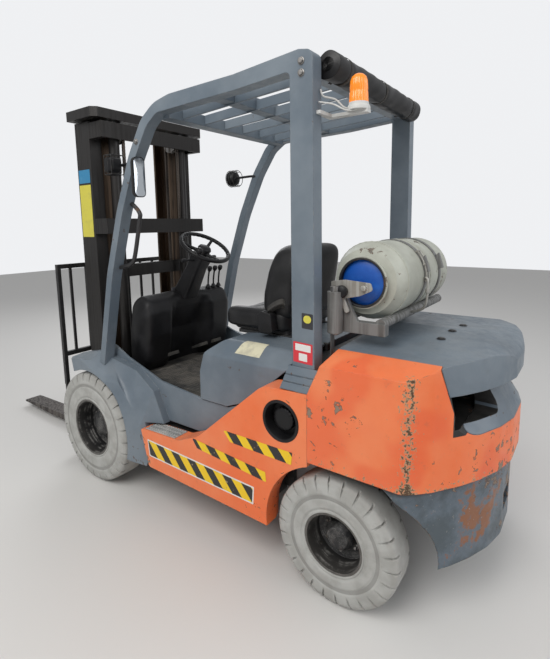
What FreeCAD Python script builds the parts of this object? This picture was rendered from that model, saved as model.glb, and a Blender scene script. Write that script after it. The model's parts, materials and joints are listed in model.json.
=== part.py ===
"""Counterbalance forklift on solid tyres, built as separate named pieces.

Row frame in millimetres: x forward to the forks, y to the left, z up, ground at z = 0.
The length is centred on x = 0, and the width on y = 0.
"""
import FreeCAD, Part
import math
import os
import Sketcher
from FreeCAD import Placement, Rotation, Vector

os.makedirs("parts", exist_ok=True)
doc = FreeCAD.newDocument("forklift")

# Every size that other sizes hang on: name, millimetres or degrees, meaning.
SIZES = [
    ("half_length", 1825, "half of the length from counterweight to fork tips"),
    ("front_axle_x", 315, "front axle, which the mast also tilts on"),
    ("wheelbase", 1600, "between the axles"),
    ("front_radius", 328, "front tyre"),
    ("front_width", 178, "front tyre"),
    ("front_track_half", 484, "front tyre's middle plane"),
    ("front_rim_radius", 168, "front tyre's seat on its rim"),
    ("rear_radius", 264, "rear tyre"),
    ("rear_width", 146, "rear tyre"),
    ("rear_track_half", 479, "rear tyre's middle plane"),
    ("rear_rim_radius", 126, "rear tyre's seat on its rim"),
    ("kingpin_y", 365, "kingpin of a steered wheel"),
    ("arch_radius", 312, "wheel arch at the rear"),
    ("opening_radius", 348, "wheel opening in the front fender"),
    ("side_y", 560, "outer face of the side panels and counterweight"),
    ("side_inner_y", 457, "inner face of the side panels"),
    ("frame_inner_y", 270, "inner face of the frame plates"),
    ("frame_outer_y", 298, "outer face of the frame plates"),
    ("floor_z", 640, "top of the floor plate"),
    ("weight_side_y", 562, "side of the counterweight"),
    ("well_y", 427, "inner face of the fenders' walls beside the floor"),
    ("seat_width", 460, "seat"),
    ("hood_side_y", 450, "outer face of the hood"),
    ("hood_wall", 12, "hood"),
    ("guard_inner_y", 464, "inner face of the rear pillars"),
    ("guard_outer_y", 524, "outer face of the rear pillars"),
    ("roll_radius", 52, "rolled curtain"),
    ("seam_x", -1178, "seam between side panels and counterweight"),
    ("axle_tube_radius", 80, "front axle tube"),
    ("fit", 0.05, "radial play of a running fit"),
    ("rail_rear_x", 413, "rear face of the outer mast rails"),
    ("rail_front_x", 556, "front face of the outer mast rails"),
    ("rail_outer_y", 388, "outer face of the outer mast rails"),
    ("rail_inner_y", 313, "inner face of the outer mast rails"),
    ("rail_bottom_z", 115, "foot of the mast"),
    ("rail_top_z", 2111, "top of the outer mast rails"),
    ("flange", 16, "flange and web of the mast rails"),
    ("inner_rear_x", 445, "rear face of the inner mast rails"),
    ("inner_front_x", 610, "front face of the inner mast rails"),
    ("inner_outer_y", 307, "outer face of the inner mast rails"),
    ("inner_side_y", 235, "inner face of the inner mast rails"),
    ("beam_gap", 7, "play between the outer rails and the top beam"),
    ("beam_thick", 54, "inner mast's top beam"),
    ("sheave_drop", 62, "chain sheave's axle below the top beam"),
    ("tie_drop", 101, "outer mast's top tie below the rail tops"),
    ("tie_high", 90, "outer mast's ties"),
    ("lift_x", 360, "lift cylinders"),
    ("lift_y", 262, "lift cylinders"),
    ("barrel_radius", 32, "lift cylinder's barrel"),
    ("lift_rod_radius", 22, "lift cylinder's rod"),
    ("fork_face_x", 780, "front face of the fork shanks"),
    ("fork_thick", 40, "fork blade and shank"),
    ("fork_wide", 122, "fork blade and shank"),
    ("fork_y", 205, "middle of a fork"),
    ("hinge_x", -1050, "hinge of the hood"),
    ("hinge_z", 950, "hinge of the hood"),
    ("tank_x", -1312, "middle of the gas tank"),
    ("tank_z", 1272, "middle of the gas tank"),
    ("tank_radius", 154, "gas tank"),
    ("swing_x", -1228, "post that the tank's bracket swings on"),
    ("swing_y", 428, "post that the tank's bracket swings on"),
    ("post_radius", 18, "post that the tank's bracket swings on"),
    ("tilt_y", 334, "tilt cylinders"),
    ("tilt_foot_x", -160, "tilt cylinder's pin on the frame"),
    ("tilt_foot_z", 470, "tilt cylinder's pin on the frame"),
    ("tilt_eye_x", 375, "tilt cylinder's pin on the mast"),
    ("tilt_eye_z", 600, "tilt cylinder's pin on the mast"),
]

sheet = doc.addObject("Spreadsheet::Sheet", "sizes")
for row, (word, number, meaning) in enumerate(SIZES, 1):
    sheet.set("A%d" % row, word)
    sheet.set("B%d" % row, str(number))
    sheet.set("C%d" % row, meaning)
    sheet.setAlias("B%d" % row, word)
doc.recompute()


class Size:
    """A number that remembers the spreadsheet expression it comes from."""

    def __init__(self, value, text):
        self.value = float(value)
        self.text = text

    def join(self, other, sign, flip=False):
        other = size(other)
        a, b = (other, self) if flip else (self, other)
        value = {"+": lambda: a.value + b.value, "-": lambda: a.value - b.value,
                 "*": lambda: a.value * b.value, "/": lambda: a.value / b.value}[sign]()
        return Size(value, "(%s %s %s)" % (a.text, sign, b.text))

    def __add__(self, other):
        return self.join(other, "+")

    def __radd__(self, other):
        return self.join(other, "+", True)

    def __sub__(self, other):
        return self.join(other, "-")

    def __rsub__(self, other):
        return self.join(other, "-", True)

    def __mul__(self, other):
        return self.join(other, "*")

    def __rmul__(self, other):
        return self.join(other, "*", True)

    def __truediv__(self, other):
        return self.join(other, "/")

    def __neg__(self):
        return self.join(-1, "*")

    def __float__(self):
        return self.value

    def __lt__(self, other):
        return float(self) < float(other)


def size(number):
    """A Size from a plain number, or the Size itself."""
    if isinstance(number, Size):
        return number
    return Size(number, "(%r)" % round(float(number), 6))


class Named:
    """Every row of SIZES as an attribute."""


S = Named()
for word, number, meaning in SIZES:
    setattr(S, word, Size(number, "sizes." + word))
rear_axle_x = S.front_axle_x - S.wheelbase
rear_x = -S.half_length
beam_z = S.rail_top_z + S.beam_gap
sheave_z = beam_z - S.sheave_drop
SIDES = [("left", 1), ("right", -1)]
serial = [0]


def fresh(word):
    """An object name that is not used yet."""
    serial[0] += 1
    return "%s_%d" % (word, serial[0])


def bind(thing, prop, amount):
    """Set a property, and tie it to the sheet where it comes from there."""
    amount = size(amount)
    if prop.startswith("Placement.Base."):
        base = thing.Placement.Base
        setattr(base, prop[-1], amount.value)
        thing.Placement = Placement(base, thing.Placement.Rotation)
    else:
        setattr(thing, prop, amount.value)
    if "sizes." in amount.text:
        thing.setExpression(prop, amount.text)


def place(thing, x, y, z):
    """Put a thing at a point."""
    for prop, amount in (("x", x), ("y", y), ("z", z)):
        bind(thing, "Placement.Base." + prop, amount)


def side(sign, low, high):
    """A span in y on the left (1) or right (-1), given as on the left."""
    return (low, high) if sign > 0 else (-size(high), -size(low))


def block(x, y, z):
    """A box from spans in x, y and z."""
    thing = doc.addObject("Part::Box", fresh("block"))
    for prop, span in (("Length", x), ("Width", y), ("Height", z)):
        bind(thing, prop, size(span[1]) - span[0])
    place(thing, x[0], y[0], z[0])
    return thing


def rod(axis, across, radius, span):
    """A cylinder along x, y or z: across is its place on the other two axes in order."""
    thing = doc.addObject("Part::Cylinder", fresh("rod"))
    bind(thing, "Radius", radius)
    bind(thing, "Height", size(span[1]) - span[0])
    turns = {"x": Rotation(Vector(0, 1, 0), 90), "y": Rotation(Vector(1, 0, 0), -90), "z": Rotation()}
    thing.Placement = Placement(Vector(), turns[axis])
    spots = {"x": (span[0], across[0], across[1]), "y": (across[0], span[0], across[1]),
             "z": (across[0], across[1], span[0])}
    place(thing, *spots[axis])
    return thing


def outline(sketch, points):
    """Draw a closed outline. A point is (a, b) or (a, b, radius of its rounded corner)."""
    count = len(points)
    spots = [Vector(float(p[0]), float(p[1]), 0) for p in points]
    bends = [float(p[2]) if len(p) > 2 else 0.0 for p in points]
    trims = []
    for i in range(count):
        before = (spots[i - 1] - spots[i]).normalize()
        after = (spots[(i + 1) % count] - spots[i]).normalize()
        half = before.getAngle(after) / 2
        trims.append((before, after, half, bends[i] / math.tan(half) if bends[i] else 0.0))
    lines = []
    for i in range(count):
        j = (i + 1) % count
        start = spots[i] + trims[i][1] * trims[i][3]
        end = spots[j] + trims[j][0] * trims[j][3]
        lines.append(sketch.addGeometry(Part.LineSegment(start, end)))
    pins = []
    for i in range(count):
        before, after, half, trim = trims[i]
        if not bends[i]:
            sketch.addConstraint(Sketcher.Constraint("Coincident", lines[i - 1], 2, lines[i], 1))
            pins.append((lines[i], 1, points[i], Vector()))
            continue
        a = spots[i] + before * trim
        b = spots[i] + after * trim
        middle = spots[i] + (before + after).normalize() * (bends[i] / math.sin(half))
        angles = [math.atan2(p.y - middle.y, p.x - middle.x) for p in (a, b)]
        first = (angles[1] - angles[0]) % (2 * math.pi) < math.pi
        start, end = angles if first else angles[::-1]
        circle = Part.Circle(middle, Vector(0, 0, 1), bends[i])
        arc = sketch.addGeometry(Part.ArcOfCircle(circle, start, end if end > start else end + 2 * math.pi))
        sketch.addConstraint(Sketcher.Constraint("Coincident", lines[i - 1], 2, arc, 1 if first else 2))
        sketch.addConstraint(Sketcher.Constraint("Coincident", arc, 2 if first else 1, lines[i], 1))
        sketch.addConstraint(Sketcher.Constraint("Radius", arc, bends[i]))
        pins.append((lines[i - 1], 2, points[i], a - spots[i]))
        pins.append((lines[i], 1, points[i], b - spots[i]))
    for line, end, point, off in pins:
        for kind, amount in (("DistanceX", size(point[0]) + off.x), ("DistanceY", size(point[1]) + off.y)):
            k = sketch.addConstraint(Sketcher.Constraint(kind, -1, 1, line, end, amount.value))
            if "sizes." in amount.text:
                sketch.setExpression("Constraints[%d]" % k, amount.text)


def drawing(body, plane, offset, points):
    """A sketch on one of the body's own origin planes, moved along the plane's normal."""
    sketch = body.newObject("Sketcher::SketchObject", fresh("sketch"))
    role = {"side": "XZ_Plane", "plan": "XY_Plane", "front": "YZ_Plane"}[plane]
    sketch.AttachmentSupport = [([f for f in body.Origin.OriginFeatures if f.Role == role][0], "")]
    sketch.MapMode = "FlatFace"
    offset = size(offset)
    sketch.AttachmentOffset = Placement(Vector(0, 0, offset.value), Rotation())
    if "sizes." in offset.text:
        sketch.setExpression("AttachmentOffset.Base.z", offset.text)
    outline(sketch, points)
    return sketch


def slab(plane, span, points):
    """A padded outline: side is (x, z) over a span in y, plan (x, y) over z, front (y, z) over x."""
    body = doc.addObject("PartDesign::Body", fresh("body"))
    offset = -size(span[1]) if plane == "side" else span[0]
    sketch = drawing(body, plane, offset, points)
    pad = body.newObject("PartDesign::Pad", fresh("pad"))
    pad.Profile = sketch
    bind(pad, "Length", size(span[1]) - span[0])
    sketch.Visibility = False
    return body


def eased(body, radius, height):
    """Round the edges round a body's flat top, which lies at a height."""
    doc.recompute()
    pad = body.Tip
    faces = ["Face%d" % i for i, face in enumerate(pad.Shape.Faces, 1) if face.CenterOfMass.z > height - 0.01]
    soft = body.newObject("PartDesign::Fillet", fresh("fillet"))
    soft.Base = (pad, faces)
    bind(soft, "Radius", radius)
    return body


def turned(axis, spot, points, angle=360):
    """An outline turned about an axis through spot. Points are (along the axis, radius)."""
    body = doc.addObject("PartDesign::Body", fresh("body"))
    plane = {"y": "front", "z": "side", "x": "side"}[axis]
    if axis == "z":
        points = [(p[1], p[0]) + tuple(p[2:]) for p in points]
    sketch = drawing(body, plane, 0, points)
    turn = body.newObject("PartDesign::Revolution", fresh("turn"))
    turn.Profile = sketch
    turn.ReferenceAxis = (sketch, ["V_Axis" if axis == "z" else "H_Axis"])
    turn.Angle = angle
    sketch.Visibility = False
    place(body, *spot)
    return body


def lofted(sections):
    """Straight surfaces between outlines drawn at places along y: (y, points in x and z)."""
    body = doc.addObject("PartDesign::Body", fresh("body"))
    sketches = [drawing(body, "side", -size(y), points) for y, points in sections]
    loft = body.newObject("PartDesign::AdditiveLoft", fresh("loft"))
    loft.Profile = sketches[0]
    loft.Sections = sketches[1:]
    loft.Ruled = True
    return body


def fuse(*things):
    """One solid out of several."""
    joined = doc.addObject("Part::MultiFuse", fresh("fuse"))
    joined.Shapes = list(things)
    joined.Refine = True
    return joined


def cut(thing, *tools):
    """A thing without its tools."""
    tool = tools[0] if len(tools) == 1 else fuse(*tools)
    left = doc.addObject("Part::Cut", fresh("cut"))
    left.Base = thing
    left.Tool = tool
    return left


def overlap(a, b):
    """What two things share."""
    both = doc.addObject("Part::Common", fresh("common"))
    both.Base = a
    both.Tool = b
    return both


nodes = []


def node(name, *things):
    """Name a finished piece. Several things become one piece of separate solids."""
    thing = things[0] if len(things) == 1 else fuse(*things)
    thing.Label = name
    nodes.append((name, thing))
    return thing


def shifted(points, x=0, z=0):
    """Points moved by a named place."""
    return [(size(x) + p[0], size(z) + p[1]) + tuple(p[2:]) for p in points]


# %% Wheels

# a tyre's outline: place along the axle in half widths, radius as a share of the outer one
for word, s in SIDES:
    for end, radius, width, seat, track, ax in (
            ("front", S.front_radius, S.front_width, S.front_rim_radius, S.front_track_half, S.front_axle_x),
            ("rear", S.rear_radius, S.rear_width, S.rear_rim_radius, S.rear_track_half, rear_axle_x)):
        half = width / 2
        spot = (ax, track * s, radius)
        tyre = turned("y", spot, [(-half, seat), (half, seat), (half, radius - 62, 8),
                                  (half - 2, radius - 22, 14), (half - 20, radius, 10),
                                  (20 - half, radius, 10), (2 - half, radius - 22, 14),
                                  (-half, radius - 62, 8)])
        node("tyre_%s_%s" % (end, word), tyre)
        out = s
        if end == "front":
            # the dish is deep: flange near the inner side, hub in the middle
            rim = [(-84, seat), (84, seat), (84, seat - 12), (-20, seat - 22), (-34, 120), (-34, 74),
                   (22, 74, 4), (34, 40), (34, 0), (-50, 0), (-50, S.axle_tube_radius - 16),
                   (-84, S.axle_tube_radius - 16), (-84, 130)]
        else:
            rim = [(-68, seat), (68, seat), (68, seat - 10), (-20, seat - 16), (-30, 84), (-30, 60),
                   (10, 60, 4), (30, 44, 8), (36, 0), (0, 0), (0, 22 + S.fit), (-60, 22 + S.fit),
                   (-60, 56), (-62, 100), (-68, 112)]
        rim = [(p[0] * out,) + tuple(p[1:]) for p in rim]
        if out < 0:
            rim = rim[::-1]
        node("rim_%s_%s" % (end, word), turned("y", spot, rim))

# %% Front axle and steered axle

tube = rod("y", (S.front_axle_x, S.front_radius), S.axle_tube_radius, (-392, 392))
bulge = turned("y", (S.front_axle_x, 0, S.front_radius),
               [(-150, 0), (150, 0), (150, 86), (90, 100, 20), (-90, 100, 20), (-150, 86)])
gearbox = block((-500, S.front_axle_x - 60), (-140, 140), (S.front_radius - 78, 480))
stubs = rod("y", (S.front_axle_x, S.front_radius), S.axle_tube_radius - 16 - S.fit, (-433.5, 433.5))
node("drive_axle", fuse(tube, stubs, bulge, gearbox))

beam = slab("plan", (S.rear_radius - 49, S.rear_radius + 49),
            [(rear_axle_x + a * 1, b * 1) for a, b in
             ((-30, -365), (-55, -240), (-55, 240), (-30, 365),
              (30, 365), (55, 240), (55, -240), (30, -365))])
eyes = [rod("z", (rear_axle_x, S.kingpin_y * s), 32, (S.rear_radius - 49, S.rear_radius + 49))
        for word, s in SIDES]
bores = [rod("z", (rear_axle_x, S.kingpin_y * s), 15 + S.fit, (S.rear_radius - 60, S.rear_radius + 60))
         for w, s in SIDES]
steer_barrel = rod("y", (rear_axle_x - 155, S.rear_radius), 32, (-125, 125))
pivots = [rod("x", (0, S.rear_radius), 28, (rear_axle_x - 120, rear_axle_x + 110))]
# underside of the counterweight above the axle
weight_floor_z = 577.7
hanger_span = (S.rear_radius - 45, weight_floor_z)
hangers = [block((rear_axle_x - 125, rear_axle_x - 61), (-70, 70), hanger_span),
           block((rear_axle_x + 61, rear_axle_x + 100), (-70, 70), hanger_span)]
node("steer_axle", cut(fuse(beam, *(eyes + pivots)), *bores),
     cut(fuse(*hangers), rod("x", (0, S.rear_radius), 28.3, (rear_axle_x - 130, rear_axle_x + 130))))
node("steer_cylinder", cut(steer_barrel, hangers[0]))

for word, s in SIDES:
    pin = rod("z", (rear_axle_x, S.kingpin_y * s), 15, (S.rear_radius - 72, S.rear_radius + 72))
    arms = [block((rear_axle_x - 34, rear_axle_x + 34), side(s, S.kingpin_y - 30, S.kingpin_y + 50), span)
            for span in ((S.rear_radius + 52, S.rear_radius + 76), (S.rear_radius - 76, S.rear_radius - 52))]
    web = block((rear_axle_x - 34, rear_axle_x + 34), side(s, S.kingpin_y + 37, S.kingpin_y + 50),
                (S.rear_radius - 76, S.rear_radius + 76))
    spindle = rod("y", (rear_axle_x, S.rear_radius), 22, side(s, S.kingpin_y + 37, S.rear_track_half - 2))
    node("knuckle_" + word, fuse(pin, web, spindle, *arms))

# %% Main frame

plates = []
for word, s in SIDES:
    nose = S.front_axle_x
    plate = slab("side", side(s, S.frame_inner_y, S.frame_outer_y), [
        (S.seam_x + 2, 560), (-940, 560), (-940, 250), (nose - 60, 235, 30), (nose + 70, 250, 30),
        (nose + 95, 330, 30), (nose + 60, 408, 30), (nose - 180, 425), (-141, 425), (-145, 502, 10),
        (-185, 502, 10), (-200, 425), (-420, 430), (-420, 628), (S.seam_x + 2, 628)])
    plates.append(cut(plate, rod("y", (nose, S.front_radius), S.axle_tube_radius + 0.3, (-420, 420))))
    tank = block((-900, -230), side(s, S.frame_outer_y, S.side_inner_y), (238, 432))
    plates.append(tank)
    plates.append(rod("y", (S.tilt_foot_x, S.tilt_foot_z), 14, side(s, S.frame_inner_y, S.tilt_y + 31)))
for word, s in SIDES:
    for x in (-860, -660):
        plates.append(block((x, x + 40), side(s, 200.3, S.frame_inner_y + 1), (380, 420)))
for x in ((-500, -468), (S.seam_x + 4, -1120)):
    plates.append(block(x, (-S.frame_outer_y, S.frame_outer_y), (560, 628)))
plates.append(block((-14, 14), (10 - S.frame_outer_y, S.frame_outer_y - 10), (490, 628)))
for word, s in SIDES:
    plates.append(block((-14, 14), side(s, S.frame_inner_y, S.frame_outer_y - 10), (420, 500)))
node("main_frame", fuse(*plates))

# %% Side panels, steps and fenders

sweep = []
for word, s in SIDES:
    sweep.append(turned("z", (rear_axle_x, S.kingpin_y * s, 0),
                        [(0, 0), (0, 335), (264, 335), (340, 327), (400, 305), (460, 270), (500, 234),
                         (536, 200), (536, 0)]))
arch = rod("y", (rear_axle_x, S.rear_radius), S.arch_radius, (-700, 700))

panels = []
mats = []
caps = []
for word, s in SIDES:
    panel = slab("side", side(s, S.side_inner_y, S.side_y), [
        (-142, 441, 12), (-194, 241, 20), (-1000, 222), (S.seam_x, 222), (S.seam_x, 853),
        (-965, 846, 90), (-570, 512, 160), (-430, 453, 60)])
    recess = rod("y", (-1053, 715), 82, side(s, S.side_y - 62, S.side_y + 20))
    panels.append(cut(panel, arch, sweep[0 if s > 0 else 1], *([recess] if s > 0 else [])))
    mats.append(slab("side", side(s, S.side_inner_y + 7, S.side_y - 8), [
        (-400, 451.8), (-400, 460), (-170, 450), (-170, 442.2)]))
    if s > 0:
        cap = fuse(rod("y", (-1053, 715), 80, side(s, S.side_y - 62, S.side_y - 52)),
                   rod("y", (-1053, 715), 46, side(s, S.side_y - 62, S.side_y - 22)))
        caps.append(cap)
node("side_panels", *panels)
node("step_mats", *mats)
node("filler_cap", *caps)

# fender outlines from the lip inwards: y, then front top, crown, shoulder, back and foot corners
LIP = [(440, 600), (470, 722), (382, 737), (164, 645), (21, 497), (-34, 388), (-58, 232), (40, 232)]
CREASE = [(440, 600), (508, 722), (300, 735), (48, 640), (-62, 514), (-114, 437), (-154, 222), (40, 222)]
INNER = [(440, 600), (500, 734), (313, 775), (213, 752), (-22, 714), (-162, 622), (-237, 458), (40, 222)]
fenders = []
for word, s in SIDES:
    rows = [(440, INNER), (480, INNER), (545, CREASE), (573, LIP)]
    rows = [(y * s, points) for y, points in rows]
    if s < 0:
        rows = rows[::-1]
    wing = lofted(rows)
    wing = cut(wing, rod("y", (S.front_axle_x, S.front_radius), S.opening_radius, (-700, 700)),
               slab("side", side(s, 300, 650), [(-136, 458), (-188, 234), (-240, 100), (-700, 100),
                                                (-700, 458)]))
    cover = slab("side", side(s, S.well_y, S.well_y + 13), [
        (-800, 463), (-800, 700), (-750, 672), (-664, S.floor_z), (-495, S.floor_z), (-179, 672), (100, 760),
        (222, 815, 20), (330, 815), (330, 700), (0, 600), (-120, 463)])
    cover = cut(cover, rod("y", (S.front_axle_x, S.front_radius), S.opening_radius, (-700, 700)))
    fenders.append(fuse(wing, cover))
node("fenders", *fenders)

# %% Floor, dash and controls

node("floor", fuse(block((-468, 170), (-S.well_y, S.well_y), (S.floor_z - 12, S.floor_z)),
                   block((-468, 60), (5 - S.well_y, S.well_y - 5), (S.floor_z, S.floor_z + 6))))
cowl = slab("side", (-350, 350), [(100, S.floor_z), (212, S.floor_z), (165, 1030, 30), (120, 1100, 30),
                                  (35, 1104, 20), (40, 1010, 30), (110, 900, 60)])
node("dash", cowl)
tilt = math.degrees(math.atan2(172, 270))
rings = doc.addObject("Part::Torus", fresh("ring"))
rings.Radius1 = 150
rings.Radius2 = 13
lean = Rotation(Vector(0, 1, 0), -tilt)
rings.Placement = Placement(Vector(-112, 0, 1370), lean)
hub = doc.addObject("Part::Cylinder", fresh("hub"))
hub.Radius = 36
hub.Height = 40
hub.Placement = Placement(Vector(-112, 0, 1370) + lean.multVec(Vector(0, 0, -40)), lean)
column = doc.addObject("Part::Cylinder", fresh("column"))
column.Radius = 46
column.Height = 290
column.Placement = Placement(Vector(-112, 0, 1370) + lean.multVec(Vector(0, 0, -325)), lean)
spokes = []
for turn in (0, 120, 240):
    spoke = doc.addObject("Part::Box", fresh("spoke"))
    spoke.Length = 150
    spoke.Width = 24
    spoke.Height = 10
    at = lean.multiply(Rotation(Vector(0, 0, 1), turn + 60))
    spoke.Placement = Placement(Vector(-112, 0, 1370) + at.multVec(Vector(0, -12, -14)), at)
    spokes.append(spoke)
node("steering_wheel", cut(fuse(rings, hub, column, *spokes), cowl))
levers = []
for y in (-300, -250, -200):
    levers.append(rod("z", (70, y), 7, (1085, 1201)))
    levers.append(rod("z", (70, y), 17, (1200, 1235)))
node("levers", cut(fuse(*levers), cowl))
pedals = []
for y in (-90, -220, 160):
    pedals.append(slab("side", (y - 35, y + 35), [(20, 720), (116, 688), (116, 700), (26, 740)]))
node("pedals", cut(fuse(*pedals), cowl))

# %% Overhead guard

# one pressed bar a side: from the rear pillar's foot over the roof and down to the fender
GUARD = [
    (-1090, 2045, 20), (-1090, 948), (-1080, 855), (-1176, 855), (-1192, 900), (-1187, 2100, 30),
    (-1128, 2112, 20), (-821, 2088), (-440, 2082, 150), (-330, 2062, 200), (-235, 2000, 150),
    (-125, 1840, 400), (0, 1575, 800), (122, 1240, 800), (256, 700), (211, 700), (77, 1228, 800),
    (-45, 1562, 800), (-172, 1822, 400), (-275, 1968, 120), (-350, 2016, 60), (-820, 2028)]
guard = []
for word, s in SIDES:
    guard.append(cut(slab("side", side(s, S.guard_inner_y, S.guard_outer_y), GUARD), *fenders))
bars = [block(x, (-S.guard_inner_y, S.guard_inner_y), z) for x, z in (
    ((-372, -302), (2000, 2052)), ((-705, -645), (2030, 2082)), ((-1150, -1095), (2046, 2100)))]
node("guard_frame", fuse(*(guard + bars)))
slats = []
for y in (-375, -225, -75, 75, 225, 375):
    slats.append(slab("side", (y - 5, y + 5), [(-340, 2006), (-340, 2050), (-1120, 2094), (-1120, 2050)]))
node("guard_slats", cut(fuse(*slats), *bars))
node("roof_roll", rod("y", (-1150.3 - S.roll_radius, 2067), S.roll_radius, (-445, 445)))

# %% Lamps, beacon and mirror

lamps = []
lamps.append(fuse(block((20, 75), (455, 525), (1780, 1860)),
                  block((-150, 62), side(1, 452, S.guard_inner_y), (1810, 1830))))
lamps.append(fuse(rod("x", (-470, 1820), 52, (20, 80)), block((15, 30), (-480, -452), (1810, 1830)),
                  block((-150, 30), side(-1, 452, S.guard_inner_y), (1810, 1830))))
node("head_lamps", *lamps)
mirror_arm = block((-213, -90), (500, 520), (1740, 1752))
mirror = fuse(block((-225, -213), (505, 570), (1640, 1830)), mirror_arm)
node("mirror", cut(mirror, dict(nodes)["guard_frame"]))
beacon_z = 1900
node("beacon", turned("z", (-1305, 400, beacon_z), [
    (0, 0), (0, 42), (20, 42, 4), (20, 36), (26, 34), (108, 30, 14), (126, 0)]))
node("beacon_bracket", cut(fuse(block((-1345, -1192), (385, 415), (beacon_z - 12, beacon_z)),
                                block((-1204, -1180), (385, 500), (beacon_z - 12, beacon_z))),
                           dict(nodes)["guard_frame"]))

# %% Engine and radiator

node("engine", block((-930, -562), (-200, 200), (300, 800)))
node("radiator", block((S.seam_x - 6, -1064), (-437, 437), (640, 925)))
stands = []
for y in (-250, 250):
    stands.append(rod("y", (S.hinge_x, S.hinge_z), 4, (y - 60, y + 60)))
    for a in (y - 60, y + 42):
        stands.append(block((-1074, -1046), (a, a + 18), (925, 958)))
node("hood_hinges", *stands)
bases = []
for word, s in SIDES:
    front = slab("front", (-1230, -1040), [
        (442 * s, 853.5), (557 * s, 853.5), (529 * s, 945), (442 * s, 945)])
    foot = slab("side", side(s, 400, 600), [
        (S.seam_x - 1, 853.5), (-1050, 853.5), (-1075, 945), (-1216, 945)])
    grooves = [block((-1300, -1000), side(s, y, 600), (z, z + 5)) for y, z in ((544.5, 880), (536, 908))]
    shaft = block((-1300, -1079), side(s, S.guard_inner_y - 0.3, S.guard_outer_y + 0.3), (800, 1000))
    bases.append(cut(overlap(foot, front), shaft, *grooves))
node("pillar_feet", *bases)

# %% Counterweight

# plan of the left rear quarter, from the side to the middle: x from the rear end, y, corner radius
CONTOUR = [(262, S.weight_side_y, 60), (191, 492, 80), (118, 391, 200), (72, 312, 200), (27, 208, 120),
           (0, 95, 90)]


def contour(points, front):
    """A plan outline of the rear end that starts at front on the left and ends there on the right."""
    left = [(front, points[0][1])] + [(rear_x + p[0],) + tuple(p[1:]) for p in points]
    right = [(p[0], -size(p[1])) + tuple(p[2:]) for p in reversed(left)]
    return left + right


# the top is crowned across the truck: orange shoulders slope up to the grey cap, which lies in a trough
cap_side_y = 450
shoulder_z = 978
crown_z = 1052
trough_z = 985
crown = slab("front", (rear_x - 20, S.seam_x), [
    (-600, 200), (600, 200), (600, shoulder_z - 13), (S.weight_side_y, shoulder_z, 20),
    (cap_side_y, 1022, 150), (0, crown_z), (-cap_side_y, 1022, 150), (-S.weight_side_y, shoulder_z, 20),
    (-600, shoulder_z - 13)])
cap_z = 912
shelf_z = 752
outline_points = contour(CONTOUR, S.seam_x - 1.5)
main = overlap(slab("plan", (578, crown_z + 8), outline_points), crown)
inset = [(p[0] + 24, p[1] - 7) + tuple(p[2:]) for p in CONTOUR]
skirt = slab("plan", (250, 578), contour(inset, S.seam_x - 1.5))
hollow = block((rear_x + 220, S.seam_x + 50), (-440, 440), (100, 558))
slant = slab("side", (-700, 700), [(S.seam_x + 20, 853), (S.seam_x - 1, 853), (S.seam_x - 98, 1063),
                                   (S.seam_x - 98, 1200), (S.seam_x + 20, 1200)])
core = block((S.seam_x - 6, -900), (-438, 438), (558, 1100))
skirt_arch = overlap(rod("y", (rear_axle_x, S.rear_radius), S.arch_radius + 55, (-700, 700)),
                     block((-2500, 0), (-700, 700), (0, weight_floor_z)))
# the scoop's front edge, seen from the side
EDGE = [(-200, shelf_z), (119, shelf_z, 60), (183, 1035), (196, 1075), (196, 1300), (-200, 1300)]
scoop_room = slab("side", (-700, 700), shifted(EDGE, x=rear_x))
trough = block((rear_x - 50, S.seam_x + 50), (-cap_side_y, cap_side_y), (trough_z, 1300))
outlet = block((rear_x + 100, rear_x + 235), (-420, 420), (790, 905))
slot = block((rear_x - 100, rear_x + 125), (-60, 60), (330, 410))
pin_bore = rod("z", (rear_x + 75, 0), 15.3, (295.7, 444.3))
corners = slab("side", (-700, 700), shifted([(325, 240), (265, 240), (165, 320), (-75, 320), (-75, 100),
                                             (325, 100)], x=rear_x))
weight = cut(fuse(main, skirt), hollow, core, arch, skirt_arch, sweep[0], sweep[1], slant, scoop_room, outlet,
             slot, trough, pin_bore, cut(corners, block((-3000, 0), (-430, 430), (0, 400))))
node("counterweight", weight)

# grey cap with rounded top edges, and the sloping scoop below it that is open to the air outlet on both sides
cap_inner_y = cap_side_y - 0.3
cap_plan = slab("plan", (cap_z, crown_z + 8), contour(CONTOUR, S.seam_x - 20))
TAIL = [(rear_x + 125, 1046, 80), (rear_x + 14, 1022, 60), (rear_x - 2, 975, 60), (rear_x - 2, cap_z),
        (rear_x + 154, cap_z), (rear_x + 170, trough_z + 0.3)]
cap_rear = slab("side", (-700, 700), [(rear_x + 183, 1048)] + TAIL)
cap_front = slab("side", (-cap_inner_y, cap_inner_y), [
    (rear_x + 400, 1100), (rear_x + 300, 1054, 200)] + TAIL + [
    (S.seam_x - 62, trough_z + 0.3), (S.seam_x - 98, 1063), (S.seam_x - 98, 1100)])
EASED = [(p[0] + 95, p[1] * 0.84, p[2] * 0.8) for p in CONTOUR]
shelf = doc.addObject("PartDesign::Body", fresh("body"))
low = drawing(shelf, "plan", shelf_z + 0.3, contour(CONTOUR, rear_x + 320))
high = drawing(shelf, "plan", cap_z + 2, contour(EASED, rear_x + 320))
slope = shelf.newObject("PartDesign::AdditiveLoft", fresh("loft"))
slope.Profile = low
slope.Sections = [high]
slope.Ruled = True
mouth_z = 792
mouths = [slab("front", (rear_x - 50, rear_x + 400), [
    (140 * s, cap_z), (150 * s, mouth_z, 45), (520 * s, mouth_z), (520 * s, cap_z)]) for word, s in SIDES]
scoop_front = slab("side", (-700, 700), shifted([
    (-200, shelf_z + 0.3), (118.7, shelf_z + 0.3, 59.7), (154.9, cap_z + 1), (-200, cap_z + 1)], x=rear_x))
scoop = cut(overlap(shelf, scoop_front), *mouths)
node("counterweight_lid", fuse(overlap(overlap(cap_plan, crown), fuse(cap_rear, cap_front)), scoop))
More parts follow.
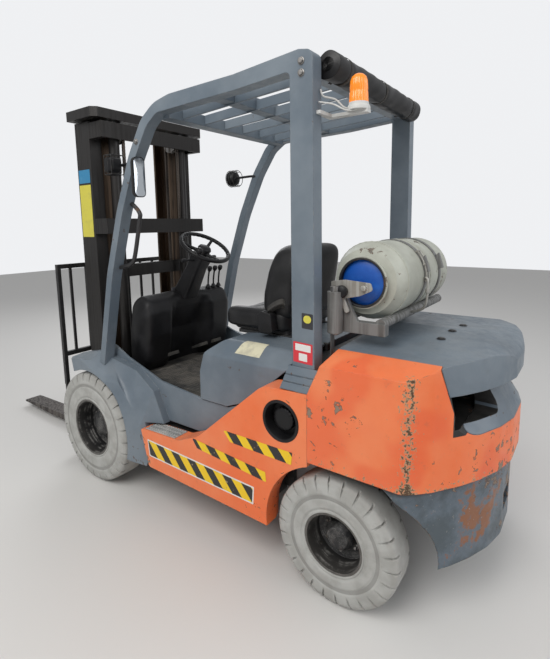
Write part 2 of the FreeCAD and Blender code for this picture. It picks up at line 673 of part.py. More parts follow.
node("tow_pin", rod("z", (rear_x + 75, 0), 15, (296, 444)))
louvres = []
for z in (805, 830, 855, 880):
    louvres.append(block((rear_x + 221, rear_x + 234.7), (-419.7, 419.7), (z - 4, z + 4)))
node("outlet_grille", *louvres)

# %% Gas tank

node("gas_tank", turned("y", (S.tank_x, 20, S.tank_z), [
    (-350, 0), (-350, 55), (-318, 128, 50), (-265, S.tank_radius, 60), (265, S.tank_radius, 60),
    (318, 128), (326, 98), (352, 98), (352, 91), (326, 91), (334, 50), (336, 0)]))
post = rod("z", (S.swing_x, S.swing_y), S.post_radius, (900, 1260))
node("tank_post", cut(post, weight, block((-1300, S.seam_x - 40), (380, cap_side_y), (trough_z - 1, 1070))))
# two rails carry the tank, and a box arm with an upright plate joins them to the sleeve on the post
arm_z = 1078
rail = 20
rail_x = 88
rail_z = S.tank_z - 150.4
arm = [rod("y", (S.tank_x + x, rail_z), rail, (-330, 395)) for x in (-rail_x, rail_x)]
arm.append(block((S.tank_x - rail_x - 22, S.swing_x + 26), (366, 402), (arm_z, 1124)))
arm.append(slab("side", (384, 402), [
    (-1312, 1123), (S.swing_x, 1123), (S.swing_x, 1238), (S.swing_x - 30, 1232, 12), (-1290, 1160)]))
sleeve = rod("z", (S.swing_x, S.swing_y), 30, (arm_z, 1240))
bands = []
for y in (85, -110):
    arm.append(block((S.tank_x - rail_x, S.tank_x + rail_x), (y - 20, y + 20),
                     (1098, S.tank_z - S.tank_radius - 2)))
    bands.append(rod("y", (S.tank_x, S.tank_z), S.tank_radius + 3.3, (y - 15, y + 15)))
    bands.append(slab("side", (y - 9, y + 9), shifted([(-172, 26), (-150, 20), (-140, 82), (-150, 92)],
                                                      x=S.tank_x, z=S.tank_z)))
node("tank_bracket", cut(fuse(sleeve, *(arm + bands)),
                         rod("z", (S.swing_x, S.swing_y), S.post_radius + S.fit, (1000, 1300)),
                         rod("y", (S.tank_x, S.tank_z), S.tank_radius + 0.3, (-400, 366)),
                         rod("y", (S.tank_x, S.tank_z), 99, (300, 378))))

# %% Hood and seat

hood_y = S.hood_side_y
shell = overlap(
    slab("side", (-hood_y, hood_y), [
        (-490, 647), (-491, 790, 60), (-524, 892, 60), (-596, 948, 60), (-762, 968, 100), (-892, 958, 60),
        (-1042, 946), (-1040, 905), (-1028, 903), (-910, 800), (-752, 682), (-663, 647)]),
    slab("front", (-1100, -400), [
        (-hood_y, 600), (hood_y, 600), (hood_y, 888, 20), (hood_y - 78, 950, 70), (0, 964),
        (78 - hood_y, 950, 70), (-hood_y, 888, 20)]))
inner_y = hood_y - S.hood_wall
space = overlap(
    slab("side", (-inner_y, inner_y), [
        (-502, 640), (-503, 790, 50), (-534, 884, 50), (-602, 937, 50), (-762, 956, 80), (-890, 946),
        (-1028, 934), (-1032, 880), (-1032, 640)]),
    slab("front", (-1100, -400), [
        (-inner_y, 600), (inner_y, 600), (inner_y, 882, 12), (inner_y - 78, 939, 58), (0, 952),
        (78 - inner_y, 939, 58), (-inner_y, 882, 12)]))
barrels = [rod("y", (S.hinge_x, S.hinge_z), 8, (y - 40, y + 40)) for y in (-250, 250)]
holes = rod("y", (S.hinge_x, S.hinge_z), 4 + S.fit, (-400, 400))
leaves = [block((S.hinge_x, -1034), (y - 40, y + 40), (S.hinge_z - 8, S.hinge_z - 2)) for y in (-250, 250)]
node("hood", cut(fuse(cut(shell, space), *(barrels + leaves)), holes))

half = S.seat_width / 2
seat_back = overlap(
    slab("side", (-half, half), [
        (-862, 1000, 30), (-790, 1000), (-736, 1100, 60), (-742, 1310, 80), (-790, 1398, 40),
        (-880, 1404, 30), (-926, 1330, 80), (-890, 1060, 60)]),
    slab("front", (-1000, -600), [(-half, 990), (half, 990), (half, 1260, 60), (half - 60, 1403, 80),
                                  (60 - half, 1403, 80), (-half, 1260, 60)]))
cushion = slab("side", (-half, half), [(-860, 985), (-860, 1060), (-694, 1076, 60), (-455, 1044, 30),
                                       (-450, 990, 25), (-640, 972, 40)])
base = block((-840, -560), (-190, 190), (956, 1000))
runners = [block((-880, -540), (y - 14, y + 14), (940, 985)) for y in (-190, 190)]
node("seat", cut(fuse(seat_back, cushion, base, *runners), shell))
node("belt_box", slab("side", (half + 0.3, half + 48), [(-815, 985, 12), (-725, 975, 12), (-712, 1070, 12),
                                                        (-745, 1090, 12), (-800, 1080, 12)]))

# %% Mast, outer rails

rails = []
cross = []
barrels = []
barrel_top_z = S.rail_top_z - 81
ties = [(S.rail_top_z - drop, S.rail_top_z - drop + S.tie_high) for drop in (S.tie_drop + 550, S.tie_drop)]
for word, s in SIDES:
    flange = S.flange
    rails.append(slab("plan", (S.rail_bottom_z, S.rail_top_z), [
        (x, y * s) for x, y in (
            (S.rail_rear_x, S.rail_inner_y), (S.rail_rear_x + flange, S.rail_inner_y),
            (S.rail_rear_x + flange, S.rail_outer_y - flange),
            (S.rail_front_x - flange, S.rail_outer_y - flange),
            (S.rail_front_x - flange, S.rail_inner_y), (S.rail_front_x, S.rail_inner_y),
            (S.rail_front_x, S.rail_outer_y), (S.rail_rear_x, S.rail_outer_y))]))
    saddle = slab("side", side(s, 346, S.rail_outer_y), [
        (S.rail_rear_x + 2, 205), (250, 215, 30), (195, 300, 40), (195, 360, 40), (250, 450, 30),
        (S.rail_rear_x + 2, 468)])
    rails.append(cut(saddle, rod("y", (S.front_axle_x, S.front_radius), S.axle_tube_radius + S.fit,
                                 (-500, 500))))
    rails.append(block((322, S.rail_rear_x + 4), side(s, 225, S.rail_outer_y), (450, 468)))
    rails.append(block((402, S.rail_rear_x + 2), side(s, 300, S.rail_outer_y), (545, 655)))
    for y in ((S.tilt_y - 29, S.tilt_y - 18), (S.tilt_y + 18, S.tilt_y + 29)):
        ear = slab("side", side(s, *y), [(404, 550), (404, 650), (S.tilt_eye_x, 626, 20), (350, 600, 10),
                                         (S.tilt_eye_x, 574, 20)])
        rails.append(ear)
    for z in ties:
        rails.append(block((296, S.rail_rear_x + 2), side(s, 352, S.rail_outer_y), z))
    cross.append(block((303, 345), side(s, 200, 225), (ties[0][0] + 20, ties[0][0] + 60)))
    tube = cut(rod("z", (S.lift_x, S.lift_y * s), S.barrel_radius, (468, barrel_top_z)),
               rod("z", (S.lift_x, S.lift_y * s), S.lift_rod_radius + S.fit, (478, barrel_top_z + 10)))
    barrels.append(tube)
for z in ties:
    cross.append(block((290, 304), (-S.rail_outer_y, S.rail_outer_y), z))
cross.append(block((400, 462), (-S.rail_outer_y, S.rail_outer_y), (S.rail_bottom_z, 140)))
outer_rails = node("mast_outer_rails", fuse(*rails))
node("mast_outer_ties", cut(fuse(*cross), outer_rails))
node("lift_barrels", *barrels)

# %% Mast, inner rails with the top beam

inner = []
cross = []
rods = []
sheaves = []
chains = []
for word, s in SIDES:
    inner.append(slab("plan", (146, beam_z), [
        (x, y * s) for x, y in (
            (S.inner_rear_x, S.inner_side_y), (S.inner_rear_x, S.inner_outer_y),
            (S.inner_front_x, S.inner_outer_y), (S.inner_front_x, S.inner_side_y),
            (S.inner_front_x - flange, S.inner_side_y), (S.inner_front_x - flange, S.inner_outer_y - flange),
            (S.inner_rear_x + flange, S.inner_outer_y - flange), (S.inner_rear_x + flange, S.inner_side_y))]))
    inner.append(rod("y", (484.5, 230), 53, side(s, S.inner_outer_y - 1, 366)))
    rods.append(rod("z", (S.lift_x, S.lift_y * s), S.lift_rod_radius, (520, beam_z)))
    cross.append(block((380, 404), side(s, 226, 232), (sheave_z - 16, beam_z + 1)))
    cross.append(rod("y", (392, sheave_z), 14, side(s, 196, 232)))
    sheaves.append(cut(turned("y", (392, 0, sheave_z), [
        (a * s, r) for a, r in ((199, 10), (199, 58), (202, 58), (202, 50), (223, 50), (223, 58), (225.5, 58),
                                (225.5, 10))][::s]), rod("y", (392, sheave_z), 14.3, (-300, 300))))
top = slab("plan", (beam_z, beam_z + S.beam_thick), [
    (295, -400), (295, 400), (325, 430), (565, 430), (565, -430), (325, -430)])
cross.append(top)
for z in ((150, 245), (1180, 1260)):
    cross.append(block((421, 437), (-300, 300), z))
    for word, s in SIDES:
        cross.append(block((436, S.inner_rear_x), side(s, 240, 300), z))
node("mast_inner_rails", fuse(*inner))
node("mast_beam", fuse(*cross))
node("lift_rods", *rods)
node("chain_sheaves", *sheaves)

# %% Chains

PITCH = 19.05


def strand(y, middle, low, high):
    """One straight run of leaf chain, down from high: its edge waves in and out once a link."""
    wave = ((0, 5.85), (0.3, 5.85), (0.65, 4.3))
    steps = [(float(high) - (i + part) * PITCH, deep) for i in range(int((float(high) - float(low)) / PITCH))
             for part, deep in wave]
    front = [Vector(middle + deep, y[0], z) for z, deep in steps]
    back = [Vector(middle - deep, y[0], z) for z, deep in reversed(steps)]
    ring = front + [Vector(middle + 5.85, y[0], float(low)), Vector(middle - 5.85, y[0], float(low))] + back
    run = doc.addObject("Part::Feature", fresh("strand"))
    run.Shape = Part.Face(Part.makePolygon(ring + ring[:1])).extrude(Vector(0, y[1] - y[0], 0))
    return run


for word, s in SIDES:
    y = [float(v) for v in side(s, 203.5, 221.5)]
    wrap = cut(rod("y", (392, sheave_z), 61.85, y), rod("y", (392, sheave_z), 50.3, (-300, 300)),
               block((300, 500), (-300, 300), (sheave_z - 200, sheave_z)))
    chains.append(fuse(wrap, strand(y, 448.15, 430, sheave_z),
                       strand(y, 335.85, ties[0][0] + 60.3, sheave_z)))
node("lift_chains", *chains)

# %% Carriage, backrest and forks

carriage = []
for word, s in SIDES:
    carriage.append(slab("side", side(s, 206, 228), [
        (474, 90), (474, 500), (600, 500), (705, 440), (705, 110), (640, 90)]))
    for z in (160, 430):
        carriage.append(rod("y", (527.5, z), 66.2, side(s, 227, 286)))
    carriage.append(block((444, 480), side(s, 190, 203), (380, 440)))
    carriage.append(block((462, 480), side(s, 190, 207), (380, 440)))
carriage.append(block((704, 739.7), (-480, 480), (372, 480)))
carriage.append(block((704, 739.7), (-480, 480), (96, 172)))
for y in (-330, 0, 330):
    carriage.append(block((706, 736), (y - 30, y + 30), (170, 374)))
node("carriage", fuse(*carriage))

rest = [block((728, 752), (-477, 477), (1240, 1268)), block((728, 752), (-477, 477), (668, 696))]
for y in (-465, 465):
    rest.append(block((728, 752), (y - 12, y + 12), (480, 1250)))
for y in (-385, -275, -165, -55, 55, 165, 275, 385):
    rest.append(block((734, 746), (y - 8, y + 8), (690, 1245)))
node("backrest", fuse(*rest))

for word, s in SIDES:
    y = side(s, S.fork_y - S.fork_wide / 2, S.fork_y + S.fork_wide / 2)
    fork = slab("side", y, [
        (S.fork_face_x - S.fork_thick, 30 + 40, 30), (S.fork_face_x - 20, 30), (S.half_length - 400, 30),
        (S.half_length, 44), (S.half_length, 56), (S.half_length - 60, 60), (S.half_length - 500, 70),
        (S.fork_face_x, 70, 30), (S.fork_face_x, 560), (S.fork_face_x - S.fork_thick, 560)])
    hook = block((712, S.fork_face_x - 20), y, (480.3, 510))
    foot = block((712, S.fork_face_x - 20), y, (70, 95.7))
    node("fork_" + word, fuse(fork, hook, foot))

# %% Tilt cylinders

reach = math.hypot(float(S.tilt_eye_x) - float(S.tilt_foot_x), float(S.tilt_eye_z) - float(S.tilt_foot_z))
rise = math.degrees(math.atan2(float(S.tilt_eye_z) - float(S.tilt_foot_z),
                               float(S.tilt_eye_x) - float(S.tilt_foot_x)))


def along(radius, start, end, s):
    """A cylinder on the tilt cylinder's line, from start to end beyond its foot pin."""
    thing = doc.addObject("Part::Cylinder", fresh("tilt"))
    thing.Radius = radius
    thing.Height = end - start
    lie = Rotation(Vector(0, 1, 0), 90 - rise)
    base = Vector(float(S.tilt_foot_x), float(S.tilt_y) * s, float(S.tilt_foot_z))
    thing.Placement = Placement(base + lie.multVec(Vector(0, 0, start)), lie)
    return thing


for word, s in SIDES:
    eye = rod("y", (S.tilt_foot_x, S.tilt_foot_z), 30, side(s, S.tilt_y - 28, S.tilt_y + 28))
    barrel = cut(fuse(eye, along(32, 26, 400, s)), along(20 + 0.05, 60, 420, s),
                 rod("y", (S.tilt_foot_x, S.tilt_foot_z), 14 + S.fit, (-400, 400)))
    node("tilt_barrel_" + word, barrel)
    head = rod("y", (S.tilt_eye_x, S.tilt_eye_z), 24, side(s, S.tilt_y - 12.5, S.tilt_y + 12.5))
    stem = along(20, 160, reach - 55, s)
    neck = along(12, reach - 56, reach - 20, s)
    node("tilt_rod_" + word, fuse(head, stem, neck))

# %% Check and write

doc.recompute()
bad = []
for name, thing in nodes:
    state = "Invalid" in thing.State or "Error" in thing.State
    if state or thing.Shape.isNull() or not thing.Shape.isValid():
        bad.append(name)
for thing in doc.Objects:
    if "Invalid" in thing.State or "Error" in thing.State:
        bad.append(thing.Name + " " + " ".join(thing.State))
if bad:
    raise SystemExit("not built: " + ", ".join(bad))
for name, thing in nodes:
    shape = thing.Shape
    shape.exportStep("parts/%s.step" % name)
    box = shape.optimalBoundingBox(False)
    print("%-18s %2d solids  x %7.1f %7.1f  y %7.1f %7.1f  z %7.1f %7.1f" % (
        name, len(shape.Solids), box.XMin, box.XMax, box.YMin, box.YMax, box.ZMin, box.ZMax))
    if len(shape.Solids) > 2:
        for solid in shape.Solids:
            b = solid.BoundBox
            print("      ", [round(v) for v in (b.XMin, b.XMax, b.YMin, b.YMax, b.ZMin, b.ZMax)])
print(len(nodes), "nodes")
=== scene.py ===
# %% [markdown]
# # A counterbalance forklift, dressed for the camera
# The measured solids come packed from CAD, in metres, with x forward to the fork tips, y to the
# driver's left and z up. This file gives them paint, rubber, steel and vinyl, and adds what is too
# small or too soft for solids: tread lugs, cushions, strips, bolts, lamps and their cages.

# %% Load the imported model
import json
import math
import bmesh
import bpy
import numpy as np
from mathutils import Matrix, Vector


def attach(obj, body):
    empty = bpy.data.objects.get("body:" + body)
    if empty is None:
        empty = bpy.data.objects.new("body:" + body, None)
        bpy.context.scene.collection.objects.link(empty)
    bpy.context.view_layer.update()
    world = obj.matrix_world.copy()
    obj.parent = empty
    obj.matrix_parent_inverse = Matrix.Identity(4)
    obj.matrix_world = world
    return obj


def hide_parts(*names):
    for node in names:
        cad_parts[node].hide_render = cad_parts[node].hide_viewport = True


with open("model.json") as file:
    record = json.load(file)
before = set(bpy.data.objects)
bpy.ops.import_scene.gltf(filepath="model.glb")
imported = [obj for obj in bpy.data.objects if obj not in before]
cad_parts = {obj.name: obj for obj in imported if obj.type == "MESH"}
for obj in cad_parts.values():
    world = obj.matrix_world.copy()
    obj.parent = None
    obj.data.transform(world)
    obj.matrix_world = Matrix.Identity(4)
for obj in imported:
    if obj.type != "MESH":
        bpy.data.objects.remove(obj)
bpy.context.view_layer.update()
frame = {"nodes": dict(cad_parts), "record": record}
nodes = frame["nodes"]

# %% [markdown]
# The camera stands where the photographer stood: behind the truck on its left, at eye height,
# looking slightly down. Its place, its three turns and its focal length in pixels were fitted to the
# wheels, the overhead guard, the mast and the forks. The picture's middle is not quite the lens
# axis, so a small shift of the frame does the rest.

# %% Camera
PICTURE_TALL = 659
EYE = Vector((-2.040, 1.938, 1.496))
YAW, PITCH, ROLL = math.radians(-53.95), math.radians(-8.30), math.radians(-0.86)
FOCAL_PIXELS, SHIFT_PIXELS = 444.7, -39.4
ahead = Vector((math.cos(YAW) * math.cos(PITCH), math.sin(YAW) * math.cos(PITCH), math.sin(PITCH)))
right = Vector((math.sin(YAW), -math.cos(YAW), 0.0))
up = right.cross(ahead)
right, up = (math.cos(ROLL) * right + math.sin(ROLL) * up,
             math.cos(ROLL) * up - math.sin(ROLL) * right)
lens = bpy.data.cameras.new("camera")
lens.sensor_width = 36.0
lens.lens = FOCAL_PIXELS * lens.sensor_width / PICTURE_TALL
lens.shift_y = SHIFT_PIXELS / PICTURE_TALL
camera = bpy.data.objects.new("camera", lens)
camera.matrix_world = Matrix((
    (right.x, up.x, -ahead.x, EYE.x), (right.y, up.y, -ahead.y, EYE.y),
    (right.z, up.z, -ahead.z, EYE.z), (0, 0, 0, 1)))
bpy.context.scene.collection.objects.link(camera)
bpy.context.scene.camera = camera
bpy.context.scene.view_settings.view_transform = "Standard"
print("lens", round(lens.lens, 2), "mm")

# %% [markdown]
# Every material below is a small tree of shader nodes. A few helpers keep the trees readable: they
# add a node and fill or link its sockets, do sums on numbers and on places, and lay one colour over
# another by a mask.

# %% Node helpers


def put(tree, socket, value):
    """A link when the value is another node's socket, and else the value itself."""
    if isinstance(value, bpy.types.NodeSocket):
        tree.links.new(value, socket)
    else:
        socket.default_value = (*value, 1.0) if socket.type == "RGBA" else value


def fill(tree, node, sockets):
    """Each named socket gets its value or link."""
    for name, value in sockets.items():
        put(tree, node.inputs[name], value)
    return node


def add(tree, kind, sockets=None, **settings):
    """One new node of that kind with its settings and sockets."""
    node = tree.nodes.new("ShaderNode" + kind)
    for name, value in settings.items():
        setattr(node, name, value)
    return fill(tree, node, sockets or {})


def calc(tree, operation, a, b=0.0, c=0.0, clamp=False):
    """The result of one sum on two or three numbers."""
    node = add(tree, "Math", operation=operation, use_clamp=clamp)
    for socket, value in zip(node.inputs, (a, b, c)):
        put(tree, socket, value)
    return node.outputs[0]


def place_calc(tree, operation, a, b=None, output="Vector"):
    """The result of one sum on one or two places or directions."""
    node = add(tree, "VectorMath", operation=operation)
    put(tree, node.inputs[0], a)
    if b is not None:
        put(tree, node.inputs[1], b)
    return node.outputs[output]


def blended(tree, mask, under, over):
    """The colour under where mask is 0 and over where it is 1."""
    node = add(tree, "Mix", data_type="RGBA")
    for index, value in ((0, mask), (6, under), (7, over)):
        put(tree, node.inputs[index], value)
    return node.outputs[2]


def ramp(tree, value, low, high, start=0.0, end=1.0):
    """start below low, end above high, and a smooth rise between them."""
    node = add(tree, "MapRange", {"Value": value, "From Min": low, "From Max": high, "To Min": start,
                                  "To Max": end}, interpolation_type="SMOOTHSTEP")
    return node.outputs[0]


def stain(tree, colour, over, value, low, high, most=1.0):
    """The colour under another, whose share rises from 0 where a value is low to most where it is high."""
    return blended(tree, ramp(tree, value, low, high, 0.0, most), colour, over)


def within(tree, value, low, high):
    """1 where the value lies between low and high, and 0 elsewhere."""
    return calc(tree, "COMPARE", value, (low + high) / 2, (high - low) / 2)


def object_place(tree):
    """Metres from the truck's origin, at each point of the surface."""
    return add(tree, "TexCoord").outputs["Object"]


def true_normal(tree):
    """The surface's own direction, before any bump."""
    return add(tree, "NewGeometry").outputs["True Normal"]


def split(tree, vector):
    """The x, y and z of a place or direction."""
    return add(tree, "SeparateXYZ", {"Vector": vector}).outputs


def distance(tree, centre, axes):
    """Metres from centre, counting only the axes that are 1, so from a line through it when one is 0."""
    away = place_calc(tree, "MULTIPLY", place_calc(tree, "SUBTRACT", object_place(tree), centre), axes)
    return place_calc(tree, "LENGTH", away, output="Value")


def noise(tree, scale, detail=2.0, rough=0.5, twist=0.0):
    """Cloudy noise from 0 to 1 in the truck's own place."""
    return add(tree, "TexNoise", {"Vector": object_place(tree), "Scale": scale, "Detail": detail,
                                  "Roughness": rough, "Distortion": twist}).outputs[0]


def group(name, inputs, outputs):
    """An empty shader group with named number inputs, and outputs that are masks or normals."""
    tree = bpy.data.node_groups.new(name, "ShaderNodeTree")
    for word, value in inputs.items():
        socket = tree.interface.new_socket(word, in_out="INPUT", socket_type="NodeSocketFloat")
        socket.default_value = value
    for word, kind in outputs.items():
        tree.interface.new_socket(word, in_out="OUTPUT", socket_type="NodeSocket" + kind)
    start = tree.nodes.new("NodeGroupInput")
    end = tree.nodes.new("NodeGroupOutput")
    return tree, start.outputs, end.inputs


def use(tree, effect, **values):
    """A group placed in a material with its own values, and its outputs by name."""
    node = tree.nodes.new("ShaderNodeGroup")
    node.node_tree = effect
    return fill(tree, node, {name.capitalize(): value for name, value in values.items()}).outputs


# %% [markdown]
# A working truck wears first along its edges. A Bevel node gives the normal that a rounded edge of
# a few millimetres would have. Where it differs from the true normal there is an edge, and noise
# breaks that line up as knocks do. The same soft normal also takes the knife edge off the solids.

# %% Effect: worn edges
tree, start, end = group("worn edges", {"Radius": 0.006}, {"Mask": "Float", "Normal": "Vector"})
soft = add(tree, "Bevel", {"Radius": start["Radius"]}, samples=6).outputs[0]
match = place_calc(tree, "DOT_PRODUCT", soft, true_normal(tree), "Value")
edge = ramp(tree, calc(tree, "SUBTRACT", 1.0, match), 0.01, 0.16)
broken = ramp(tree, noise(tree, 38.0, 6.0), 0.48, 0.67)
put(tree, end["Mask"], calc(tree, "MULTIPLY", edge, broken))
put(tree, end["Normal"], soft)
worn_edges = tree
print("group", worn_edges.name)

# %% [markdown]
# Paint chips are small sharp-edged islands, and they come in clusters where things bump the truck.
# Fine noise is cut at a high level, and a second, broad noise moves that level up and down. Dust
# lies on what faces up, streaks are noise drawn out upright, and grain is a field of fine pits.

# %% Effect: chips, dust and runs
tree, start, end = group("paint chips", {"Amount": 0.5}, {"Mask": "Float", "Rim": "Float"})
level = calc(tree, "MULTIPLY", calc(tree, "SUBTRACT", noise(tree, 3.1), 0.5), 0.55)
level = calc(tree, "ADD", noise(tree, 26.0, 8.0, 0.62, 0.4), level)
level = calc(tree, "ADD", level, calc(tree, "MULTIPLY", start["Amount"], 0.2))
put(tree, end["Mask"], ramp(tree, level, 0.79, 0.80))
put(tree, end["Rim"], ramp(tree, level, 0.76, 0.79))
chips = tree

tree, start, end = group("settled dust", {"Amount": 0.5}, {"Mask": "Float"})
flat = ramp(tree, split(tree, true_normal(tree))[2], 0.2, 0.95, 0.25, 1.0)
patch = ramp(tree, noise(tree, 7.0, 7.0, 0.65), 0.35, 0.7)
put(tree, end["Mask"], calc(tree, "MULTIPLY", calc(tree, "MULTIPLY", flat, patch), start["Amount"]))
dust = tree

tree, start, end = group("upright streaks", {}, {"Mask": "Float"})
tall = place_calc(tree, "MULTIPLY", object_place(tree), (1.0, 1.0, 0.03))
lines = add(tree, "TexNoise", {"Vector": tall, "Scale": 70.0, "Detail": 4.0}).outputs[0]
put(tree, end["Mask"], ramp(tree, lines, 0.42, 0.62))
runs = tree

tree, start, end = group("moulded grain", {"Scale": 900.0, "Cloud": 9.0},
                         {"Height": "Float", "Patch": "Float"})
pits = add(tree, "TexVoronoi", {"Vector": object_place(tree), "Scale": start["Scale"]}, feature="SMOOTH_F1")
put(tree, end["Height"], pits.outputs["Distance"])
put(tree, end["Patch"], noise(tree, start["Cloud"], 5.0))
grain = tree
print("groups", [effect.name for effect in (chips, dust, runs, grain)])

# %% [markdown]
# The enamel is old: the orange has gone to salmon, and the grey has gone chalky. Each colour is
# mixed with a paler one by broad noise, dust lies on what faces up, and chips show primer and rust.
# The cast weight is orange above its overhang and rusty grey below, with a dark band of painted shadow just
# under the overhang; its air outlet and the scoop under its lid are painted black as shade.

# %% Enamel


def material(name):
    """A new material with an empty tree but for its shader, and that shader."""
    made = bpy.data.materials.new(name)
    made.use_nodes = True
    return made, made.node_tree, made.node_tree.nodes["Principled BSDF"]


def bumped(tree, shader, height, strength, depth, normal=None):
    """The shader's normal follows a height, on top of another normal where one is given."""
    bump = add(tree, "Bump", {"Height": height, "Strength": strength, "Distance": depth})
    if normal is not None:
        put(tree, bump.inputs["Normal"], normal)
    put(tree, shader.inputs["Normal"], bump.outputs[0])


RUST = (0.105, 0.045, 0.022)
PRIMER = (0.27, 0.20, 0.15)
DIRT = (0.17, 0.155, 0.135)


def enamel(name, paint, faded, chip=PRIMER, chipped=0.40, dusty=0.08, rough=0.42, edge=0.005, bare=PRIMER,
           layers_and_shade=None):
    """Old gloss paint: fading, chips with a dark rim, bare edges, dust and a faint orange peel."""
    made, tree, shader = material(name)
    colour = stain(tree, paint, faded, noise(tree, 2.3, 5.0, 0.6), 0.34, 0.66)
    if layers_and_shade:
        colour = layers_and_shade(tree, colour)
    colour = blended(tree, use(tree, dust, amount=dusty)["Mask"], colour, DIRT)
    scuff = noise(tree, 21.0, 9.0, 0.7)
    colour = stain(tree, colour, DIRT, scuff, 0.58, 0.75, 0.22)
    rim = use(tree, worn_edges, radius=edge)
    colour = blended(tree, rim["Mask"], colour, bare)
    bits = use(tree, chips, amount=chipped)
    colour = blended(tree, bits["Rim"], colour, RUST)
    colour = blended(tree, bits["Mask"], colour, chip)
    dull = calc(tree, "ADD", ramp(tree, scuff, 0.3, 0.8, rough - 0.08, rough + 0.2),
                calc(tree, "MULTIPLY", bits["Rim"], 0.3), clamp=True)
    fill(tree, shader, {"Base Color": colour, "Specular IOR Level": 0.5, "Roughness": dull})
    peel = calc(tree, "SUBTRACT", noise(tree, 160.0), calc(tree, "MULTIPLY", bits["Mask"], 3.0))
    bumped(tree, shader, peel, 0.25, 0.0006, rim["Normal"])
    return made


OVERHANG_Z = 0.578
CORNER = (-1.577, 0.556, 0.0)
ORANGE, FADED_ORANGE, RESPRAYED = (0.88, 0.175, 0.048), (0.90, 0.245, 0.095), (0.80, 0.085, 0.022)
GREY, FADED_GREY, DARK_GREY = (0.118, 0.152, 0.188), (0.185, 0.222, 0.258), (0.070, 0.092, 0.108)
GREY_LOOK = dict(chip=(0.10, 0.085, 0.07), chipped=0.2, bare=(0.28, 0.29, 0.29))


def casting_layers_and_shade(tree, colour):
    """The casting's own colours, rusty grey below the overhang's line, and painted shade: a dark band under
    the overhang and black inside the air outlet.
    """
    x, y, z = split(tree, object_place(tree))
    across = split(tree, true_normal(tree))[1]
    cloud, speck = noise(tree, 5.5, 9.0, 0.68), noise(tree, 75.0, 6.0, 0.7)
    grey = stain(tree, DARK_GREY, GREY, cloud, 0.40, 0.60)
    grey = stain(tree, grey, (0.27, 0.095, 0.028), cloud, 0.560, 0.600, 0.9)
    grey = stain(tree, grey, (0.34, 0.33, 0.31), speck, 0.63, 0.68, 0.7)
    colour = stain(tree, colour, RESPRAYED, noise(tree, 4.2, 1.5), 0.50, 0.62, 0.45)
    flaky = calc(tree, "ADD", ramp(tree, distance(tree, CORNER, (1.0, 1.0, 0.0)), 0.0, 0.055, 0.20, 0.0),
                 ramp(tree, z, OVERHANG_Z, OVERHANG_Z + 0.05, 0.11, 0.0))
    flaky = calc(tree, "ADD", flaky, speck)
    colour = stain(tree, colour, (0.42, 0.33, 0.20), flaky, 0.66, 0.69)
    colour = stain(tree, colour, (0.10, 0.050, 0.022), flaky, 0.71, 0.74)
    under = calc(tree, "LESS_THAN", z, OVERHANG_Z)
    colour = blended(tree, under, colour, grey)
    # painted shadow: a dark band just under the overhang's line, where the overhang shades the grey below
    line = ramp(tree, z, OVERHANG_Z - 0.028, OVERHANG_Z - 0.004, 0.0, 0.8)
    colour = blended(tree, calc(tree, "MULTIPLY", line, under), colour, (0.012, 0.011, 0.010))
    # painted shade: the air outlet's walls are painted black so that it reads as a deep, shaded hole
    outlet = calc(tree, "MULTIPLY", within(tree, x, -1.715, -1.575), within(tree, z, 0.765, 0.930))
    side = calc(tree, "MAXIMUM", within(tree, y, -0.424, 0.424), within(tree, across, -0.3, 0.3))
    return blended(tree, calc(tree, "MULTIPLY", outlet, side), colour, (0.010, 0.010, 0.010))


def scoop_shade(tree, colour):
    """Painted shade: black on the flat walls and the floor of the scoop under the weight's lid."""
    facing = split(tree, true_normal(tree))
    slanting = calc(tree, "MINIMUM", within(tree, facing[1], -0.8, 0.8), within(tree, facing[2], -0.8, 0.8))
    inside = within(tree, split(tree, object_place(tree))[2], 0.788, 0.915)
    # painted shade: the scoop's flat walls and floor are black
    wall = calc(tree, "MULTIPLY", calc(tree, "SUBTRACT", 1.0, slanting), inside)
    return blended(tree, wall, colour, (0.012, 0.012, 0.012))


salmon = enamel("faded orange enamel", ORANGE, FADED_ORANGE, bare=(0.55, 0.33, 0.22))
slate = enamel("chalky grey enamel", GREY, FADED_GREY, dusty=0.14, rough=0.36, **GREY_LOOK)
soot = enamel("worn black enamel", (0.012, 0.012, 0.013), (0.026, 0.026, 0.028), chip=(0.09, 0.06, 0.04),
              chipped=0.3, dusty=0.14, bare=(0.11, 0.095, 0.085))
casting = enamel("two-tone casting enamel with painted shade", ORANGE, FADED_ORANGE, chipped=0.62, bare=(0.30, 0.17, 0.10),
                 layers_and_shade=casting_layers_and_shade)
lid_paint = enamel("lid enamel with painted scoop shade", GREY, FADED_GREY, dusty=0.2, rough=0.4, layers_and_shade=scoop_shade, **GREY_LOOK)
print("enamels", [made.name for made in (salmon, slate, soot, casting, lid_paint)])

# %% [markdown]
# Bare and greasy steel is metal under oil: the rails of the mast are polished where the rollers run
# and brown where old grease sits. Castings are rough and dull. Rubber and moulded plastic are not
# metal at all, and their grain is what the eye reads, so they share one fine pitted height.

# %% Steel, iron, rubber and plastic


def steel(name, bright, grease, greasy=0.5, rough=0.3, metal=0.85):
    """Metal with upright streaks of grease, smoother where it is bare."""
    made, tree, shader = material(name)
    mask = calc(tree, "MULTIPLY", use(tree, runs)["Mask"],
                ramp(tree, noise(tree, 6.0, 6.0), 0.3, 0.62, greasy * 0.6, 1.0))
    rim = use(tree, worn_edges, radius=0.003)
    colour = blended(tree, mask, bright, grease)
    fill(tree, shader, {
        "Base Color": blended(tree, calc(tree, "MULTIPLY", rim["Mask"], 0.6), colour, bright),
        "Roughness": ramp(tree, mask, 0.0, 1.0, rough, rough + 0.28),
        "Metallic": ramp(tree, mask, 0.0, 1.0, metal, metal * 0.45)})
    bumped(tree, shader, mask, 0.06, 0.0004, rim["Normal"])
    return made


